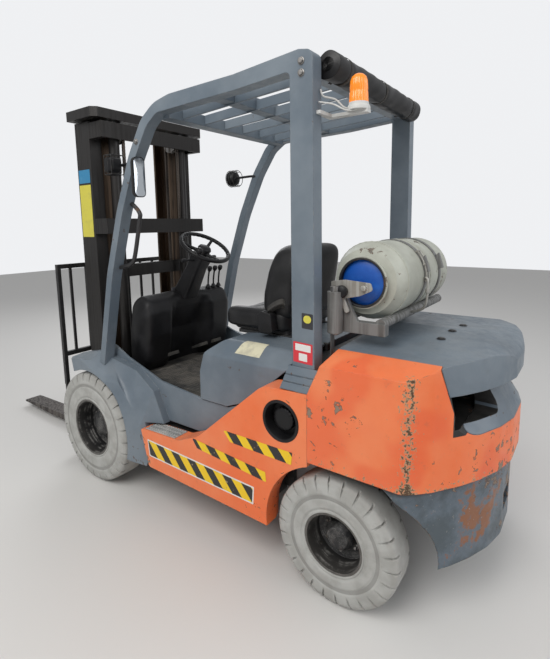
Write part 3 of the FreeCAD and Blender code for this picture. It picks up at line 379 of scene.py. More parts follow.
def moulded(name, colour, worn, rough=0.5, scale=900.0, dusty=0.3):
    """Plastic, rubber or vinyl: one colour with paler rubbed patches, dust, and a fine grain."""
    made, tree, shader = material(name)
    skin = use(tree, grain, scale=scale)
    rim = use(tree, worn_edges, radius=0.005)
    base = stain(tree, colour, worn, skin["Patch"], 0.42, 0.7)
    base = blended(tree, calc(tree, "MULTIPLY", rim["Mask"], 0.5), base, worn)
    base = blended(tree, use(tree, dust, amount=dusty)["Mask"], base, DIRT)
    fill(tree, shader, {"Base Color": base, "Specular IOR Level": 0.3,
                        "Roughness": ramp(tree, skin["Patch"], 0.3, 0.75, rough, rough + 0.2)})
    bumped(tree, shader, skin["Height"], 0.35, 0.0005, rim["Normal"])
    return made


rail_steel = steel("greasy rail steel", (0.135, 0.095, 0.066), (0.050, 0.033, 0.023), greasy=0.35)
mast_steel = steel("oily mast steel", (0.027, 0.025, 0.024), (0.014, 0.012, 0.011), rough=0.34, metal=0.5)
chain_steel = steel("oiled chain", (0.12, 0.10, 0.085), (0.020, 0.016, 0.013), rough=0.4)
chrome = steel("hard chrome", (0.62, 0.62, 0.62), (0.30, 0.28, 0.25), greasy=0.0, rough=0.12, metal=1.0)
bare_steel = steel("bare steel", (0.30, 0.29, 0.28), (0.10, 0.085, 0.07), rough=0.38)
iron = steel("rough iron", (0.050, 0.045, 0.042), (0.020, 0.017, 0.015), rough=0.6, metal=0.2)
fork_steel = steel("scraped fork steel", (0.13, 0.115, 0.105), (0.030, 0.026, 0.024), rough=0.42, metal=0.6)
zinc = steel("zinc plate", (0.42, 0.41, 0.38), (0.22, 0.20, 0.17), rough=0.42, metal=0.4)
galvanised = steel("dull galvanised steel", (0.22, 0.22, 0.215), (0.10, 0.097, 0.09), rough=0.5, metal=0.3)
plastic = moulded("black moulded plastic", (0.007, 0.007, 0.008), (0.015, 0.015, 0.017), rough=0.34,
                  dusty=0.05)
rubber = moulded("black rubber mat", (0.040, 0.040, 0.040), (0.085, 0.080, 0.072), rough=0.75, dusty=0.75,
                 scale=500.0)
vinyl = moulded("black seat vinyl", (0.011, 0.011, 0.012), (0.020, 0.020, 0.021), rough=0.30, scale=650.0,
                dusty=0.06)
step_rubber = moulded("light step pad", (0.36, 0.365, 0.36), (0.50, 0.49, 0.46), rough=0.7, dusty=0.15,
                      scale=500.0)
print("materials so far", len(bpy.data.materials))

# %% [markdown]
# The tyres are the pale non-marking kind, solid rubber, grey with floor dirt ground into the tread.
# Dirt is a matter of radius: the tread and the foot of the sidewall are darker than its middle, so
# the mask is the distance from the wheel's axle, read from the piece's own place.

# %% Tyre rubber and wheel paint
ROUND_Y = (1.0, 0.0, 1.0)


def tyre_rubber_and_groove_shade(name, centre, outer):
    """Pale rubber with a dirty tread, and painted shade darkening the groove round its sidewall."""
    made, tree, shader = material(name)
    skin = use(tree, grain, scale=420.0, cloud=14.0)
    base = stain(tree, (0.50, 0.505, 0.485), (0.40, 0.40, 0.38), skin["Patch"], 0.36, 0.66)
    away = distance(tree, centre, ROUND_Y)
    base = stain(tree, base, (0.27, 0.255, 0.235), away, outer - 0.035, outer - 0.004, 0.40)
    smear = noise(tree, 34.0, 8.0, 0.7)
    base = stain(tree, base, (0.22, 0.205, 0.185), smear, 0.56, 0.74, 0.3)
    wall = ramp(tree, away, outer - 0.020, outer - 0.006, 0.12, 0.0)
    base = blended(tree, wall, base, (0.16, 0.145, 0.125))
    # painted shade: a neutral dark band where the groove round the sidewall lies in shadow
    groove = calc(tree, "MULTIPLY", calc(tree, "COMPARE", away, outer - 0.076, 0.0075), 0.45)
    base = blended(tree, groove, base, (0.17, 0.165, 0.155))
    fill(tree, shader, {"Base Color": base, "Roughness": 0.82})
    bumped(tree, shader, calc(tree, "ADD", skin["Height"], smear), 0.4, 0.0007)
    return made


def wheel_paint(name, centre, inner):
    """Black rim paint, scuffed to steel and dust in rings about the axle."""
    made, tree, shader = material(name)
    away = distance(tree, centre, ROUND_Y)
    rings = add(tree, "TexNoise", {"W": calc(tree, "MULTIPLY", away, 180.0), "Detail": 3.0},
                noise_dimensions="1D")
    spots = noise(tree, 24.0, 8.0, 0.7)
    mask = calc(tree, "MULTIPLY", ramp(tree, rings.outputs[0], 0.45, 0.6), ramp(tree, spots, 0.42, 0.62))
    rim = use(tree, worn_edges, radius=0.004)
    base = blended(tree, mask, (0.012, 0.012, 0.013), (0.20, 0.195, 0.185))
    base = stain(tree, base, (0.20, 0.185, 0.165), away, inner - 0.02, inner, 0.45)
    base = blended(tree, rim["Mask"], base, (0.26, 0.245, 0.225))
    fill(tree, shader, {"Base Color": base, "Roughness": ramp(tree, mask, 0.0, 1.0, 0.42, 0.75)})
    bumped(tree, shader, spots, 0.25, 0.0008, rim["Normal"])
    return made


print("wheel finishes ready")

# %% [markdown]
# A few finishes are one of a kind: the amber lens has a faint painted glow, an emission that stands in
# for light passing through it, the mirror and the lamp glasses are smooth and bright, and the gas
# bottle is a chalky beige with grey rub marks where it is rolled along.

# %% One-off finishes


def plain(name, colour, worn, rough=0.4, metal=0.0, amount=0.5, **extra):
    """One colour with a worn second colour in cloudy patches, and a faint matching height."""
    made, tree, shader = material(name)
    cloud = noise(tree, 18.0, 8.0, 0.66)
    fill(tree, shader, {"Base Color": stain(tree, colour, worn, cloud, 0.48, 0.68, amount), "Metallic": metal,
                        "Roughness": ramp(tree, cloud, 0.3, 0.8, rough, rough + 0.2), **extra})
    bumped(tree, shader, cloud, 0.15, 0.0004)
    return made


# the amber lens's emission is a painted glow for light passing through it
amber = plain("amber lens with painted glow", (0.93, 0.26, 0.01), (0.80, 0.18, 0.005), rough=0.12, amount=0.3,
              **{"Emission Color": (1.0, 0.28, 0.02), "Emission Strength": 0.22, "Coat Weight": 0.6})
glass = plain("lamp glass", (0.42, 0.44, 0.46), (0.30, 0.31, 0.32), 0.08, 0.6, **{"Coat Weight": 0.8})
looking_glass = plain("mirror glass", (0.62, 0.66, 0.70), (0.5, 0.52, 0.54), 0.03, 1.0, amount=0.2)
bottle_paint = enamel("chalky bottle paint", (0.56, 0.58, 0.51), (0.37, 0.375, 0.32), edge=0.003, rough=0.5,
                      chip=(0.20, 0.185, 0.16), chipped=0.42, dusty=0.1, bare=(0.30, 0.28, 0.25))
blue_paint = plain("bottle end blue", (0.005, 0.085, 0.42), (0.01, 0.14, 0.55), 0.35)
white_paint = plain("lamp base white", (0.62, 0.62, 0.60), (0.42, 0.41, 0.39), 0.45)
label_red = plain("blank red label", (0.66, 0.035, 0.05), (0.72, 0.12, 0.12), 0.45)
label_white = plain("blank white label", (0.78, 0.76, 0.74), (0.62, 0.58, 0.54), 0.5)
label_black = plain("blank black label", (0.03, 0.03, 0.035), (0.07, 0.07, 0.07), 0.45)
label_yellow = plain("yellow tape", (0.66, 0.60, 0.08), (0.46, 0.42, 0.12), 0.5)
label_blue = plain("blank blue label", (0.03, 0.22, 0.42), (0.10, 0.32, 0.5), 0.45)
label_paper = plain("faded paper label", (0.70, 0.66, 0.48), (0.50, 0.47, 0.36), 0.7, amount=0.8)
print("one-off finishes ready")

# %% [markdown]
# Hazard strips are yellow and black bars at a slant. On the side panel the pattern only depends on
# how far along the truck and how high a point is: the two are added and cut into equal bars. Each
# pitch is half yellow and half black, and the film is rubbed through in places.

# %% Hazard strips' finish
BAR_PITCH, BAR_SLANT = 0.112, -0.85
stripes, tree, shader = material("hazard stripes")
x, y, z = split(tree, object_place(tree))
along = calc(tree, "ADD", calc(tree, "ADD", x, calc(tree, "MULTIPLY", z, BAR_SLANT)), 10.0)
bar = calc(tree, "GREATER_THAN", calc(tree, "FRACT", calc(tree, "DIVIDE", along, BAR_PITCH)), 0.5)
rub = noise(tree, 46.0, 9.0, 0.72)
base = blended(tree, bar, (0.90, 0.60, 0.01), (0.022, 0.022, 0.022))
base = stain(tree, base, (0.42, 0.30, 0.17), rub, 0.60, 0.66, 0.85)
fill(tree, shader, {"Base Color": base, "Roughness": 0.42})
bumped(tree, shader, rub, 0.2, 0.0004)
print(stripes.name)

# %% [markdown]
# Now the shapes. Every new piece is a list of small surfaces: a grid of points with its quads, a
# turned profile, a skin over outlines or a bent tube. They are computed as whole arrays and then put
# together into one mesh, whose normals are turned outwards and whose seams are merged.

# %% Shape helpers
X, Y, Z = np.eye(3)


def sheet(points, around=False, along=False, capped=False):
    """A grid of points with quads between neighbours, closed round its columns or rows, or with flat ends."""
    points = np.asarray(points, float)
    rows, columns = points.shape[:2]
    i = np.arange(rows if along else rows - 1)[:, None]
    j = np.arange(columns if around else columns - 1)
    below, beside = (i + 1) % rows, (j + 1) % columns
    corners = (i * columns + j, i * columns + beside, below * columns + beside, below * columns + j)
    faces = np.stack(np.broadcast_arrays(*corners), -1).reshape(-1, 4).tolist()
    if capped:
        last = (rows - 1) * columns
        faces += [list(range(columns))[::-1], list(range(last, last + columns))]
    return points.reshape(-1, 3), faces


def turned(profile, centre, axis=Y, steps=48):
    """A profile of (place along the axis, radius) swept round it: centre + a*w + r*(cos t*u + sin t*v)."""
    w = np.asarray(axis, float) / np.linalg.norm(axis)
    u = np.cross(Z if abs(w[2]) < 0.8 else X, w)
    u /= np.linalg.norm(u)
    profile = np.asarray(profile, float)
    t = np.arange(steps)[:, None] * 2 * np.pi / steps
    ring = np.cos(t) * u + np.sin(t) * np.cross(w, u)
    return sheet(centre + profile[:, None, :1] * w + profile[:, None, 1:] * ring, around=True)


def about_y(centre, along, radius, turn):
    """Points round a line along y: centre + (radius * cos turn, along, radius * sin turn)."""
    x, y, z = centre
    spots = (x + radius * np.cos(turn), y + along + 0 * turn, z + radius * np.sin(turn))
    return np.stack(np.broadcast_arrays(*spots), -1)


def rounded(corners, steps=6):
    """A flat outline of (x, y, radius) whose corners become arcs that touch both sides."""
    spots = np.array([corner[:2] for corner in corners], float)
    line = []
    for k, corner in enumerate(corners):
        here, radius = spots[k], (corner[2] if len(corner) > 2 else 0.0)
        before, after = spots[k - 1] - here, spots[(k + 1) % len(spots)] - here
        before, after = before / np.linalg.norm(before), after / np.linalg.norm(after)
        half = 0.5 * np.arccos(np.clip(before @ after, -1, 1))
        if radius < 1e-6 or abs(half - np.pi / 2) < 1e-3:
            line.append(here[None])
            continue
        first, last = here + before * radius / np.tan(half), here + after * radius / np.tan(half)
        middle = here + (before + after) / np.linalg.norm(before + after) * radius / np.sin(half)
        t = np.linspace(0, 1, steps + 1)[:, None]
        arc = (first - middle) * (1 - t) + (last - middle) * t
        line.append(middle + arc / np.linalg.norm(arc, axis=1)[:, None] * radius)
    return np.concatenate(line)


def oblong(wide, tall, radius=0.0, steps=6):
    """A rounded rectangle about the origin, from its half sizes and its corners' radius."""
    return rounded([(a * wide, b * tall, radius) for a, b in ((-1, -1), (1, -1), (1, 1), (-1, 1))], steps)


def loft(outlines, places, centre, across, upward):
    """A closed skin over outlines in the plane of across and upward, each at its place square to it."""
    out = np.cross(across, upward)
    rings = [centre + place * out + line[:, :1] * across + line[:, 1:2] * upward
             for line, place in zip(outlines, places)]
    return sheet(np.stack(rings), around=True, capped=True)


def upright(outline, low, high):
    """An outline in the x-z plane, drawn out from y = low to y = high."""
    return loft((outline, outline), (-high, -low), np.zeros(3), X, Z)


def smooth_line(points, count):
    """A Catmull-Rom curve through the points, which passes through each with the slope of its neighbours."""
    p = np.asarray(points, float)
    p = np.concatenate((2 * p[:1] - p[1:2], p, 2 * p[-1:] - p[-2:-1]))
    s = np.linspace(0, len(points) - 1 - 1e-9, count)
    k = s.astype(int)
    t = (s - k)[:, None]
    a, b, c, d = p[k], p[k + 1], p[k + 2], p[k + 3]
    curve = (2 * a - 5 * b + 4 * c - d) * t ** 2 + (3 * b - a - 3 * c + d) * t ** 3
    return 0.5 * (2 * b + (c - a) * t + curve)


def tube(line, radius, steps=12, closed=False):
    """A round tube along a line: at each place a circle square to the line's direction."""
    line = np.asarray(line, float)
    way = np.roll(line, -1, 0) - np.roll(line, 1, 0) if closed else np.gradient(line, axis=0)
    way /= np.linalg.norm(way, axis=1)[:, None]
    side = np.cross(way, np.eye(3)[np.argmin(np.abs(way).max(0))])
    side /= np.linalg.norm(side, axis=1)[:, None]
    t = np.arange(steps)[:, None] * 2 * np.pi / steps
    ring = np.cos(t) * side[:, None] + np.sin(t) * np.cross(way, side)[:, None]
    wide = np.broadcast_to(radius, len(line))[:, None, None]
    return sheet(line[:, None] + wide * ring, around=True, along=closed, capped=not closed)


def bent(points, count, radius, steps=10):
    """A tube along the smooth curve through a few points."""
    return tube(smooth_line(points, count), radius, steps)


def hexagon(centre, axis, across, tall):
    """A bolt's head: six flats, a chamfered top and a round washer under it."""
    radius = across / math.sqrt(3)
    head = [(0, 0), (0, radius), (tall * 0.8, radius), (tall, radius * 0.84), (tall, 0)]
    washer = [(0, 0), (0, radius * 1.25), (tall * 0.2, radius * 1.25), (tall * 0.2, 0)]
    return [turned(head, centre, axis, 6), turned(washer, centre, axis, 20)]


def rise(value, low, high):
    """0 at low and beyond, 1 at high and beyond, and straight in between."""
    return np.clip((value - low) / (high - low), 0, 1)


def hump(distance, wide):
    """exp(-(distance / wide) ** 2): 1 in the middle and nothing two widths away."""
    return np.exp(-(distance / wide) ** 2)


def piece(name, surfaces, finish=plastic, body="chassis", hides=None, angle=60,
          bevel=0.0, thick=0.0):
    """One object from many small surfaces, merged, turned outwards, finished and set to ride on a body."""
    points, faces, count = [], [], 0
    for verts, cells in surfaces:
        points.append(verts)
        faces += [[corner + count for corner in cell] for cell in cells]
        count += len(verts)
    mesh = bpy.data.meshes.new(name)
    mesh.from_pydata(np.concatenate(points).tolist(), [], faces)
    shape = bmesh.new()
    shape.from_mesh(mesh)
    bmesh.ops.remove_doubles(shape, verts=shape.verts, dist=1e-6)
    bmesh.ops.recalc_face_normals(shape, faces=shape.faces)
    shape.to_mesh(mesh)
    shape.free()
    mesh.polygons.foreach_set("use_smooth", [True] * len(mesh.polygons))
    mesh.set_sharp_from_angle(angle=math.radians(angle))
    made = bpy.data.objects.new(name, mesh)
    bpy.context.scene.collection.objects.link(made)
    if thick:
        wall = made.modifiers.new("wall", "SOLIDIFY")
        wall.thickness = thick
        wall.offset = 1.0
    if bevel:
        edge = made.modifiers.new("edges", "BEVEL")
        edge.width = bevel
        edge.segments = 3
        edge.limit_method = "ANGLE"
        edge.angle_limit = math.radians(40)
    mesh.materials.append(finish)
    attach(made, body)
    if hides:
        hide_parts(hides)
    return made


print("shape helpers ready")

# %% [markdown]
# The CAD nodes come first: each gets the finish of what it is made of. One table pairs them by their
# CAD material, and a second names the nodes that differ from it.

# %% Finishes for the CAD nodes
FINISH = {
    "orange": salmon, "grey": slate, "black_steel": soot, "bare_steel": bare_steel, "chrome_rod": chrome,
    "dark_iron": iron, "tyre_grey": rubber, "rim_black": soot, "black_plastic": plastic, "mat_rubber": rubber,
    "seat_vinyl": vinyl, "roll_vinyl": vinyl, "amber": amber, "lamp": soot, "mirror_black": plastic,
    "tank_grey": bottle_paint, "chain_steel": chain_steel}
SPECIAL = {
    "mast_outer_rails": mast_steel, "mast_outer_ties": mast_steel, "mast_inner_rails": rail_steel,
    "mast_beam": mast_steel, "lift_barrels": mast_steel, "carriage": mast_steel, "fork_left": fork_steel,
    "fork_right": fork_steel, "counterweight": casting, "counterweight_lid": lid_paint,
    "chain_sheaves": bare_steel, "tank_bracket": galvanised, "beacon_bracket": white_paint}
for part in frame["record"]["subparts"]:
    made = nodes[part["node"]]
    made.data.materials.clear()
    made.data.materials.append(SPECIAL.get(part["node"], FINISH[part["material_slot"]]))
print(len(nodes), "CAD nodes painted")

# %% [markdown]
# A solid tyre is one turned profile, with slits cut across both shoulders at a slight slant. The
# grid goes round the wheel and across the profile, and a slit pushes points in: towards the axle on
# the tread, and inwards on the sidewall. The profile also has the sidewall's groove and the lips.

# %% Tyres
LUGS = {"front": 28, "rear": 26}
SLIT = np.array((-0.5, -0.32, -0.17, -0.10, -0.078, -0.052, 0.0, 0.052, 0.078, 0.10, 0.17, 0.32))
SLIT_DEEP = 0.013
TREAD = np.array([(0, 0), (0.45, 0), (0.66, -0.001), (0.78, -0.003), (0.87, -0.009), (0.93, -0.020),
                  (0.965, -0.036), (0.985, -0.054), (0.985, -0.064), (0.944, -0.069), (0.938, -0.083),
                  (0.985, -0.089)])
FOOT = np.array([(0.995, 0.036), (0.985, 0.020), (0.930, 0.014), (0.930, 0.009), (0.975, 0.006),
                 (0.97, 0.001), (0.93, 0)])


def tyre(end, side, centre, radius, half, seat):
    """Radius r(t, v) = profile(v) - depth * slit(t) * shoulder(v), columns sheared by v, round the axle."""
    outline = np.concatenate((TREAD + (0, radius), FOOT + (0, seat))) * (half, 1)
    steps = np.cumsum(np.r_[0, np.linalg.norm(np.diff(outline, axis=0), axis=1)])
    spots = np.unique(np.r_[np.linspace(0, steps[-1], 34), steps])
    fine = np.stack([np.interp(spots, steps, outline[:, k]) for k in (0, 1)], -1)
    profile = np.concatenate(((fine * (-1, 1))[::-1], fine[1:]))
    pitch = 2 * np.pi / LUGS[end]
    place = np.tile(SLIT, LUGS[end])
    v, r = profile[:, :1], profile[:, 1:]
    t = (np.repeat(np.arange(LUGS[end]), len(SLIT)) + place) * pitch + 0.22 * pitch * v / half
    fade = rise(r, radius - 0.058, radius - 0.028) * rise(np.abs(v) / half, 0.50, 0.62)
    down = SLIT_DEEP * rise(np.abs(place), 0.078, 0.052) * fade
    on_tread = rise(r, radius - 0.024, radius - 0.008)
    grid = about_y(centre, v - np.sign(v) * down * 0.7 * (1 - on_tread), r - down * on_tread, t)
    wheel = "%s_%s" % (end, side)
    groove_shaded_rubber = tyre_rubber_and_groove_shade("tyre rubber %s %s" % (end, side), centre, radius)
    made = piece("tread_" + wheel, [sheet(grid, around=True)], groove_shaded_rubber, "wheel_" + wheel,
                 "tyre_" + wheel, angle=50)
    nodes["rim_" + wheel].data.materials[0] = wheel_paint("wheel paint %s %s" % (end, side), centre, seat)
    print(made.name, len(made.data.polygons), "faces")


SIDES = (("left", 1), ("right", -1))
WHEELS = {"front": (0.315, 0.484, 0.328, 0.089, 0.168), "rear": (-1.285, 0.479, 0.264, 0.073, 0.126)}
for word, s in SIDES:
    for end, (x, y, radius, half, seat) in WHEELS.items():
        tyre(end, word, (x, y * s, radius), radius, half, seat)

# %% [markdown]
# The wheels are held by nuts on the disc deep inside the rim. A nut is a six-sided turned profile
# with a washer under it and its stud's end showing. One object per wheel carries the whole ring.

# %% Wheel nuts
NUTS = {"front": (0.098, -0.0338, 8, 0.027), "rear": (0.072, -0.0298, 6, 0.022)}
for word, s in SIDES:
    for end, (x, y, radius, half, seat) in WHEELS.items():
        ring, face, count, across = NUTS[end]
        stud = [(0, 0), (0, across * 0.3), (0.028, across * 0.3), (0.03, across * 0.22), (0.03, 0)]
        turn = 2 * np.pi * (np.arange(count) + 0.5) / count
        nuts = []
        for spot in about_y((x, (y + face) * s, radius), 0, ring, turn):
            nuts += hexagon(spot, s * Y, across, 0.016)
            nuts.append(turned(stud, spot, s * Y, 12))
        piece("nuts_%s_%s" % (end, word), nuts, bare_steel, "wheel_%s_%s" % (end, word), angle=35)
print("wheel nuts done")

# %% [markdown]
# Both side panels carry three hazard strips, each a thin film with slanted ends. They lie on the
# flat outer face, so each is an outline in the x-z plane, half a millimetre thick. The lowest has a
# pale border, which is a second film under it. Blank stickers and two bands of tape are films too.

# %% Hazard strips and blank stickers
STRIPS = {
    "low": [(-0.201, 0.388), (-0.902, 0.370), (-0.896, 0.300), (-0.212, 0.311)],
    "middle": [(-0.535, 0.497), (-0.972, 0.468), (-0.976, 0.424), (-0.566, 0.455)],
    "high": [(-0.739, 0.592), (-1.110, 0.596), (-1.104, 0.543), (-0.779, 0.547)]}
STICKERS = [
    ("label_red", label_red, 0.5242, 0.004, (-1.184, 1.042), (-1.096, 1.046), (-1.096, 0.964),
     (-1.184, 0.960)),
    ("label_red_field", label_white, 0.5248, 0.002, (-1.176, 1.036), (-1.106, 1.039), (-1.106, 1.012),
     (-1.176, 1.009)),
    ("label_red_foot", label_white, 0.5248, 0.002, (-1.160, 1.000), (-1.122, 1.002), (-1.122, 0.972),
     (-1.160, 0.970)),
    ("label_small", label_black, 0.5242, 0.004, (-1.186, 1.160), (-1.136, 1.162), (-1.136, 1.102),
     (-1.186, 1.100)),
    ("label_small_field", label_yellow, 0.5248, 0.014, (-1.178, 1.153), (-1.144, 1.154), (-1.144, 1.124),
     (-1.178, 1.123))]


def film(name, corners, y, finish, grow=0.0, radius=0.004, thick=0.0005, body="chassis"):
    """A flat film in an x-z plane: a rounded outline pushed out by its thickness, away from y = 0."""
    corners = np.asarray(corners)
    spots = corners + np.sign(corners - corners.mean(0)) * grow
    line = rounded([(a, b, radius) for a, b in spots])
    low, high = (y, y + thick) if y > 0 else (y - thick, y)
    piece(name, [upright(line, low, high)], finish, body, angle=35)


for word, s in SIDES:
    film("strip_border_" + word, STRIPS["low"], 0.5602 * s, label_white, grow=0.007, thick=0.0004)
    for name, corners in STRIPS.items():
        film("strip_%s_%s" % (name, word), corners, 0.5607 * s, stripes)
for name, finish, y, radius, *corners in STICKERS:
    film(name, corners, y, finish, radius=radius)
TAPES = (("tape_yellow", 1.442, 1.751, label_yellow), ("tape_blue", 1.762, 1.840, label_blue))
for name, low, high, finish in TAPES:
    band = [(0.432, high), (0.548, high), (0.548, low), (0.432, low)]
    film(name, band, 0.3882, finish, body="mast_outer")
print("strips and stickers done")

# %% [markdown]
# The seat is foam under black vinyl: a cushion with raised sides and a back with wings. A closed
# crowned form comes from a sphere pushed out towards a box: each direction's sines and cosines are
# raised to a small power. The raised sides and the sewn channels are added to that as heights.

# %% Seat


def pad(low, high, power, rows=72, columns=96):
    """x, y, z = middle + half size * sign(c) * |c| ** power, where c are the sphere's coordinates."""
    low, high = np.asarray(low), np.asarray(high)
    a = np.linspace(-np.pi / 2, np.pi / 2, rows)[:, None]
    b = np.arange(columns) * 2 * np.pi / columns
    ball = np.stack((np.cos(a) * np.cos(b), np.cos(a) * np.sin(b), np.sin(a) + 0 * b), -1)
    return (low + high) / 2 + (high - low) / 2 * np.sign(ball) * np.abs(ball) ** np.asarray(power)


def furrow(distance, deep):
    """A sewn channel: deep at the seam, and back to nothing on either side."""
    return -deep * hump(distance, 0.008)


def cushioned(name, points, hides=None):
    """A vinyl piece on the hood, filled with foam."""
    made = piece(name, [sheet(points, around=True)], vinyl, "hood", hides)


SEAT_Y = 0.230
cushion = pad((-0.862, -SEAT_Y, 0.972), (-0.450, SEAT_Y, 1.062), (0.28, 0.28, 0.5))
x, y, z = np.moveaxis(cushion, -1, 0)
lift = 0.016 * hump(np.abs(y) - 0.180, 0.035) + 0.020 * (-0.45 - x) / 0.41 - 0.010 * hump(y, 0.11)
lift = lift + furrow(np.abs(y) - 0.135, 0.010) + furrow(x + 0.540, 0.007) * (np.abs(y) < 0.145)
cushion[..., 2] = z + rise(z, 1.005, 1.045) * lift
cushioned("seat_cushion", cushion)

back = pad((-0.925, -SEAT_Y, 1.030), (-0.742, SEAT_Y, 1.402), (0.55, 0.30, 0.32), rows=96)
x, y, z = np.moveaxis(back, -1, 0)
deep = 0.022 * hump(np.abs(y) - 0.175, 0.04) * rise(z, 1.33, 1.18)
deep = deep + furrow(np.abs(y) - 0.125, 0.010) + furrow(z - 1.300, 0.009) * (np.abs(y) < 0.13)
lean = -0.16 * (z - 1.03) * rise(z, 1.03, 1.40)
back[..., 0] = x + rise(x, -0.85, -0.80) * deep + lean + 0.035
back[..., 1] = y * (1 - 0.16 * rise(z, 1.22, 1.40) ** 2)
cushioned("seat_back", back, "seat")

pan = [loft([oblong(0.1625, 0.19, 0.02)] * 2, (0.962, 0.985), -0.6825 * X, X, Y)]
for s in (-1, 1):
    pan.append(loft([oblong(0.170, 0.014)] * 2, (0.9452, 0.9625), (-0.710, 0.190 * s, 0), X, Y))
    wire = [(-0.56, 0.150 * s, 0.957), (-0.50, 0.150 * s, 0.957), (-0.462, 0.13 * s, 0.960)]
    pan.append(bent(wire, 12, 0.006, 12))
pan.append(tube([(-0.462, -0.13, 0.960), (-0.462, 0.0, 0.960), (-0.462, 0.13, 0.960)], 0.006))
piece("seat_pan", pan, soot, "hood", "seat", angle=35, bevel=0.002)
reel = rounded([(-0.812, 0.984, 0.012), (-0.727, 0.977, 0.012), (-0.715, 1.066, 0.016), (-0.745, 1.086, 0.012),
                (-0.800, 1.078, 0.012)])
mouth = loft([oblong(0.013, 0.015)] * 2, (1.080, 1.0885), (-0.765, 0.253, 0), X, Y)
piece("belt_reel", [upright(reel, 0.2312, 0.277), mouth], body="hood", hides="belt_box", angle=35, bevel=0.004)
belt = smooth_line([(-0.765, 0.252, 1.084), (-0.800, 0.250, 1.110), (-0.838, 0.236, 1.128),
                    (-0.852, 0.222, 1.120)], 20)
strap = sheet(np.stack((belt - 0.022 * Z, belt + 0.022 * Z), 1))
piece("belt_strap", [strap], rubber, body="hood", angle=35, thick=0.0012)
print("seat done")

# %% [markdown]
# The steering wheel leans back towards the driver. Its rim is a torus whose thickness swells in
# finger grips along the inner side, three dished spokes run to a padded hub, and a moulded shroud
# hides the column. Everything is drawn square to the column's axis.

# %% Steering wheel and column
WHEEL_AT = np.array((-0.112, 0.0, 1.370))
LEAN = math.atan2(172, 270)
COLUMN = np.array((-math.sin(LEAN), 0.0, math.cos(LEAN)))
FORE = np.array((math.cos(LEAN), 0.0, math.sin(LEAN)))
RIM_R = 0.150


def on_wheel(turn, out, up=0.0):
    """Places out from the wheel's middle at a turn from dead ahead, raised by up along the column."""
    way = np.cos(turn)[..., None] * FORE + np.sin(turn)[..., None] * Y
    return WHEEL_AT + np.asarray(out)[..., None] * way + np.asarray(up)[..., None] * COLUMN


turn = np.arange(240)[:, None] * 2 * np.pi / 240
bend = np.arange(16) * 2 * np.pi / 16
grip = 0.0122 + 0.0016 * np.cos(30 * turn) * np.clip(-np.cos(bend), 0, 1)
wheel = [sheet(on_wheel(turn, RIM_R + grip * np.cos(bend), grip * np.sin(bend)), around=True, along=True)]
for turn in (math.pi / 3, math.pi, 5 * math.pi / 3):
    spoke = [on_wheel(turn, 0.03, -0.030), on_wheel(turn, 0.08, -0.022), on_wheel(turn, 0.148)]
    wheel.append(bent(spoke, 14, np.linspace(0.0125, 0.008, 14)))
hub = [(-0.045, 0), (-0.045, 0.034), (-0.012, 0.042), (0.0, 0.036), (0.006, 0.022), (0.008, 0)]
ball = [(0.0, 0.008), (0.020, 0.008), (0.024, 0.019), (0.038, 0.021), (0.048, 0.014), (0.051, 0)]
wheel += [turned(hub, WHEEL_AT, COLUMN, 40), turned(ball, on_wheel(2.1, RIM_R), COLUMN, 24)]
piece("steering_rim", wheel, hides="steering_wheel", angle=50)
SHROUD = ((-0.345, 0.062, 0.058, 0.020), (-0.25, 0.056, 0.052, 0.020), (-0.14, 0.050, 0.046, 0.018),
          (-0.075, 0.056, 0.050, 0.020), (-0.052, 0.050, 0.046, 0.020), (-0.048, 0.03, 0.03, 0.012))
outlines = [oblong(tall, wide, corner) for place, wide, tall, corner in SHROUD]
stalks = [loft(outlines, [row[0] for row in SHROUD], WHEEL_AT, FORE, Y)]
tip = [(-0.02, 0), (-0.018, 0.009), (0.0, 0.0115), (0.016, 0.010), (0.022, 0)]
base = WHEEL_AT - 0.095 * COLUMN
for s, reach, top in ((1, 0.135, 0.010), (-1, 0.110, 0.018)):
    line = smooth_line([base + 0.04 * s * Y, base + reach * 0.8 * s * Y + 0.012 * COLUMN,
                        base + reach * s * Y + top * COLUMN], 12)
    stalks += [tube(line, 0.0055, 10), turned(tip, line[-1], s * Y, 16)]
piece("column_shroud", stalks, hides="steering_wheel", angle=40)
print("steering wheel done")

# %% [markdown]
# The cowl under the wheel is one soft black moulding: two big rounded lobes beside a hollow for the
# knees, and a raised binnacle behind the wheel. It is a grid across the truck (v) and around the
# cowl's section (u): the section's corners are set for the lobe and for the middle, and blended.

# %% Cowl and levers
LOBE = [(0.100, 0.640), (0.052, 0.700, 0.03), (0.020, 0.860, 0.06), (0.012, 1.000, 0.06),
        (0.036, 1.070, 0.05), (0.110, 1.100, 0.05), (0.168, 1.070, 0.05), (0.205, 0.900, 0.1), (0.212, 0.640)]
MIDDLE = [(0.150, 0.640), (0.140, 0.700, 0.03), (0.120, 0.860, 0.06), (0.060, 1.000, 0.06),
          (0.036, 1.075, 0.04), (0.110, 1.102, 0.04), (0.165, 1.080, 0.05), (0.205, 0.900, 0.1),
          (0.212, 0.640)]
v = np.linspace(-1, 1, 65)[:, None, None]
share = rise(np.abs(v), 0.28, 0.53)
share = share * share * (3 - 2 * share)
section = rounded(MIDDLE) * (1 - share) + rounded(LOBE) * share
anchor = np.array((0.135, 0.80))
section = anchor + (section - anchor) * (np.sqrt(1 - rise(np.abs(v), 0.86, 1.0) ** 2) * 0.28 + 0.72)
cowl = np.stack((section[..., 0], 0 * section[..., 0] + 0.350 * v[..., 0], section[..., 1]), -1)
piece("cowl", [sheet(cowl, around=True, capped=True)], hides="dash", angle=50, bevel=0.01)
face = rounded([(-0.095, -0.03, 0.012), (0.095, -0.03, 0.012), (0.080, 0.035, 0.02), (-0.080, 0.035, 0.02)])
panel = loft((face, face), (0.0, 0.014), (0.098, 0.0, 1.090), Y, np.array((0.55, 0, 0.83)))
piece("instrument_panel", [panel], label_black, angle=35, bevel=0.003)
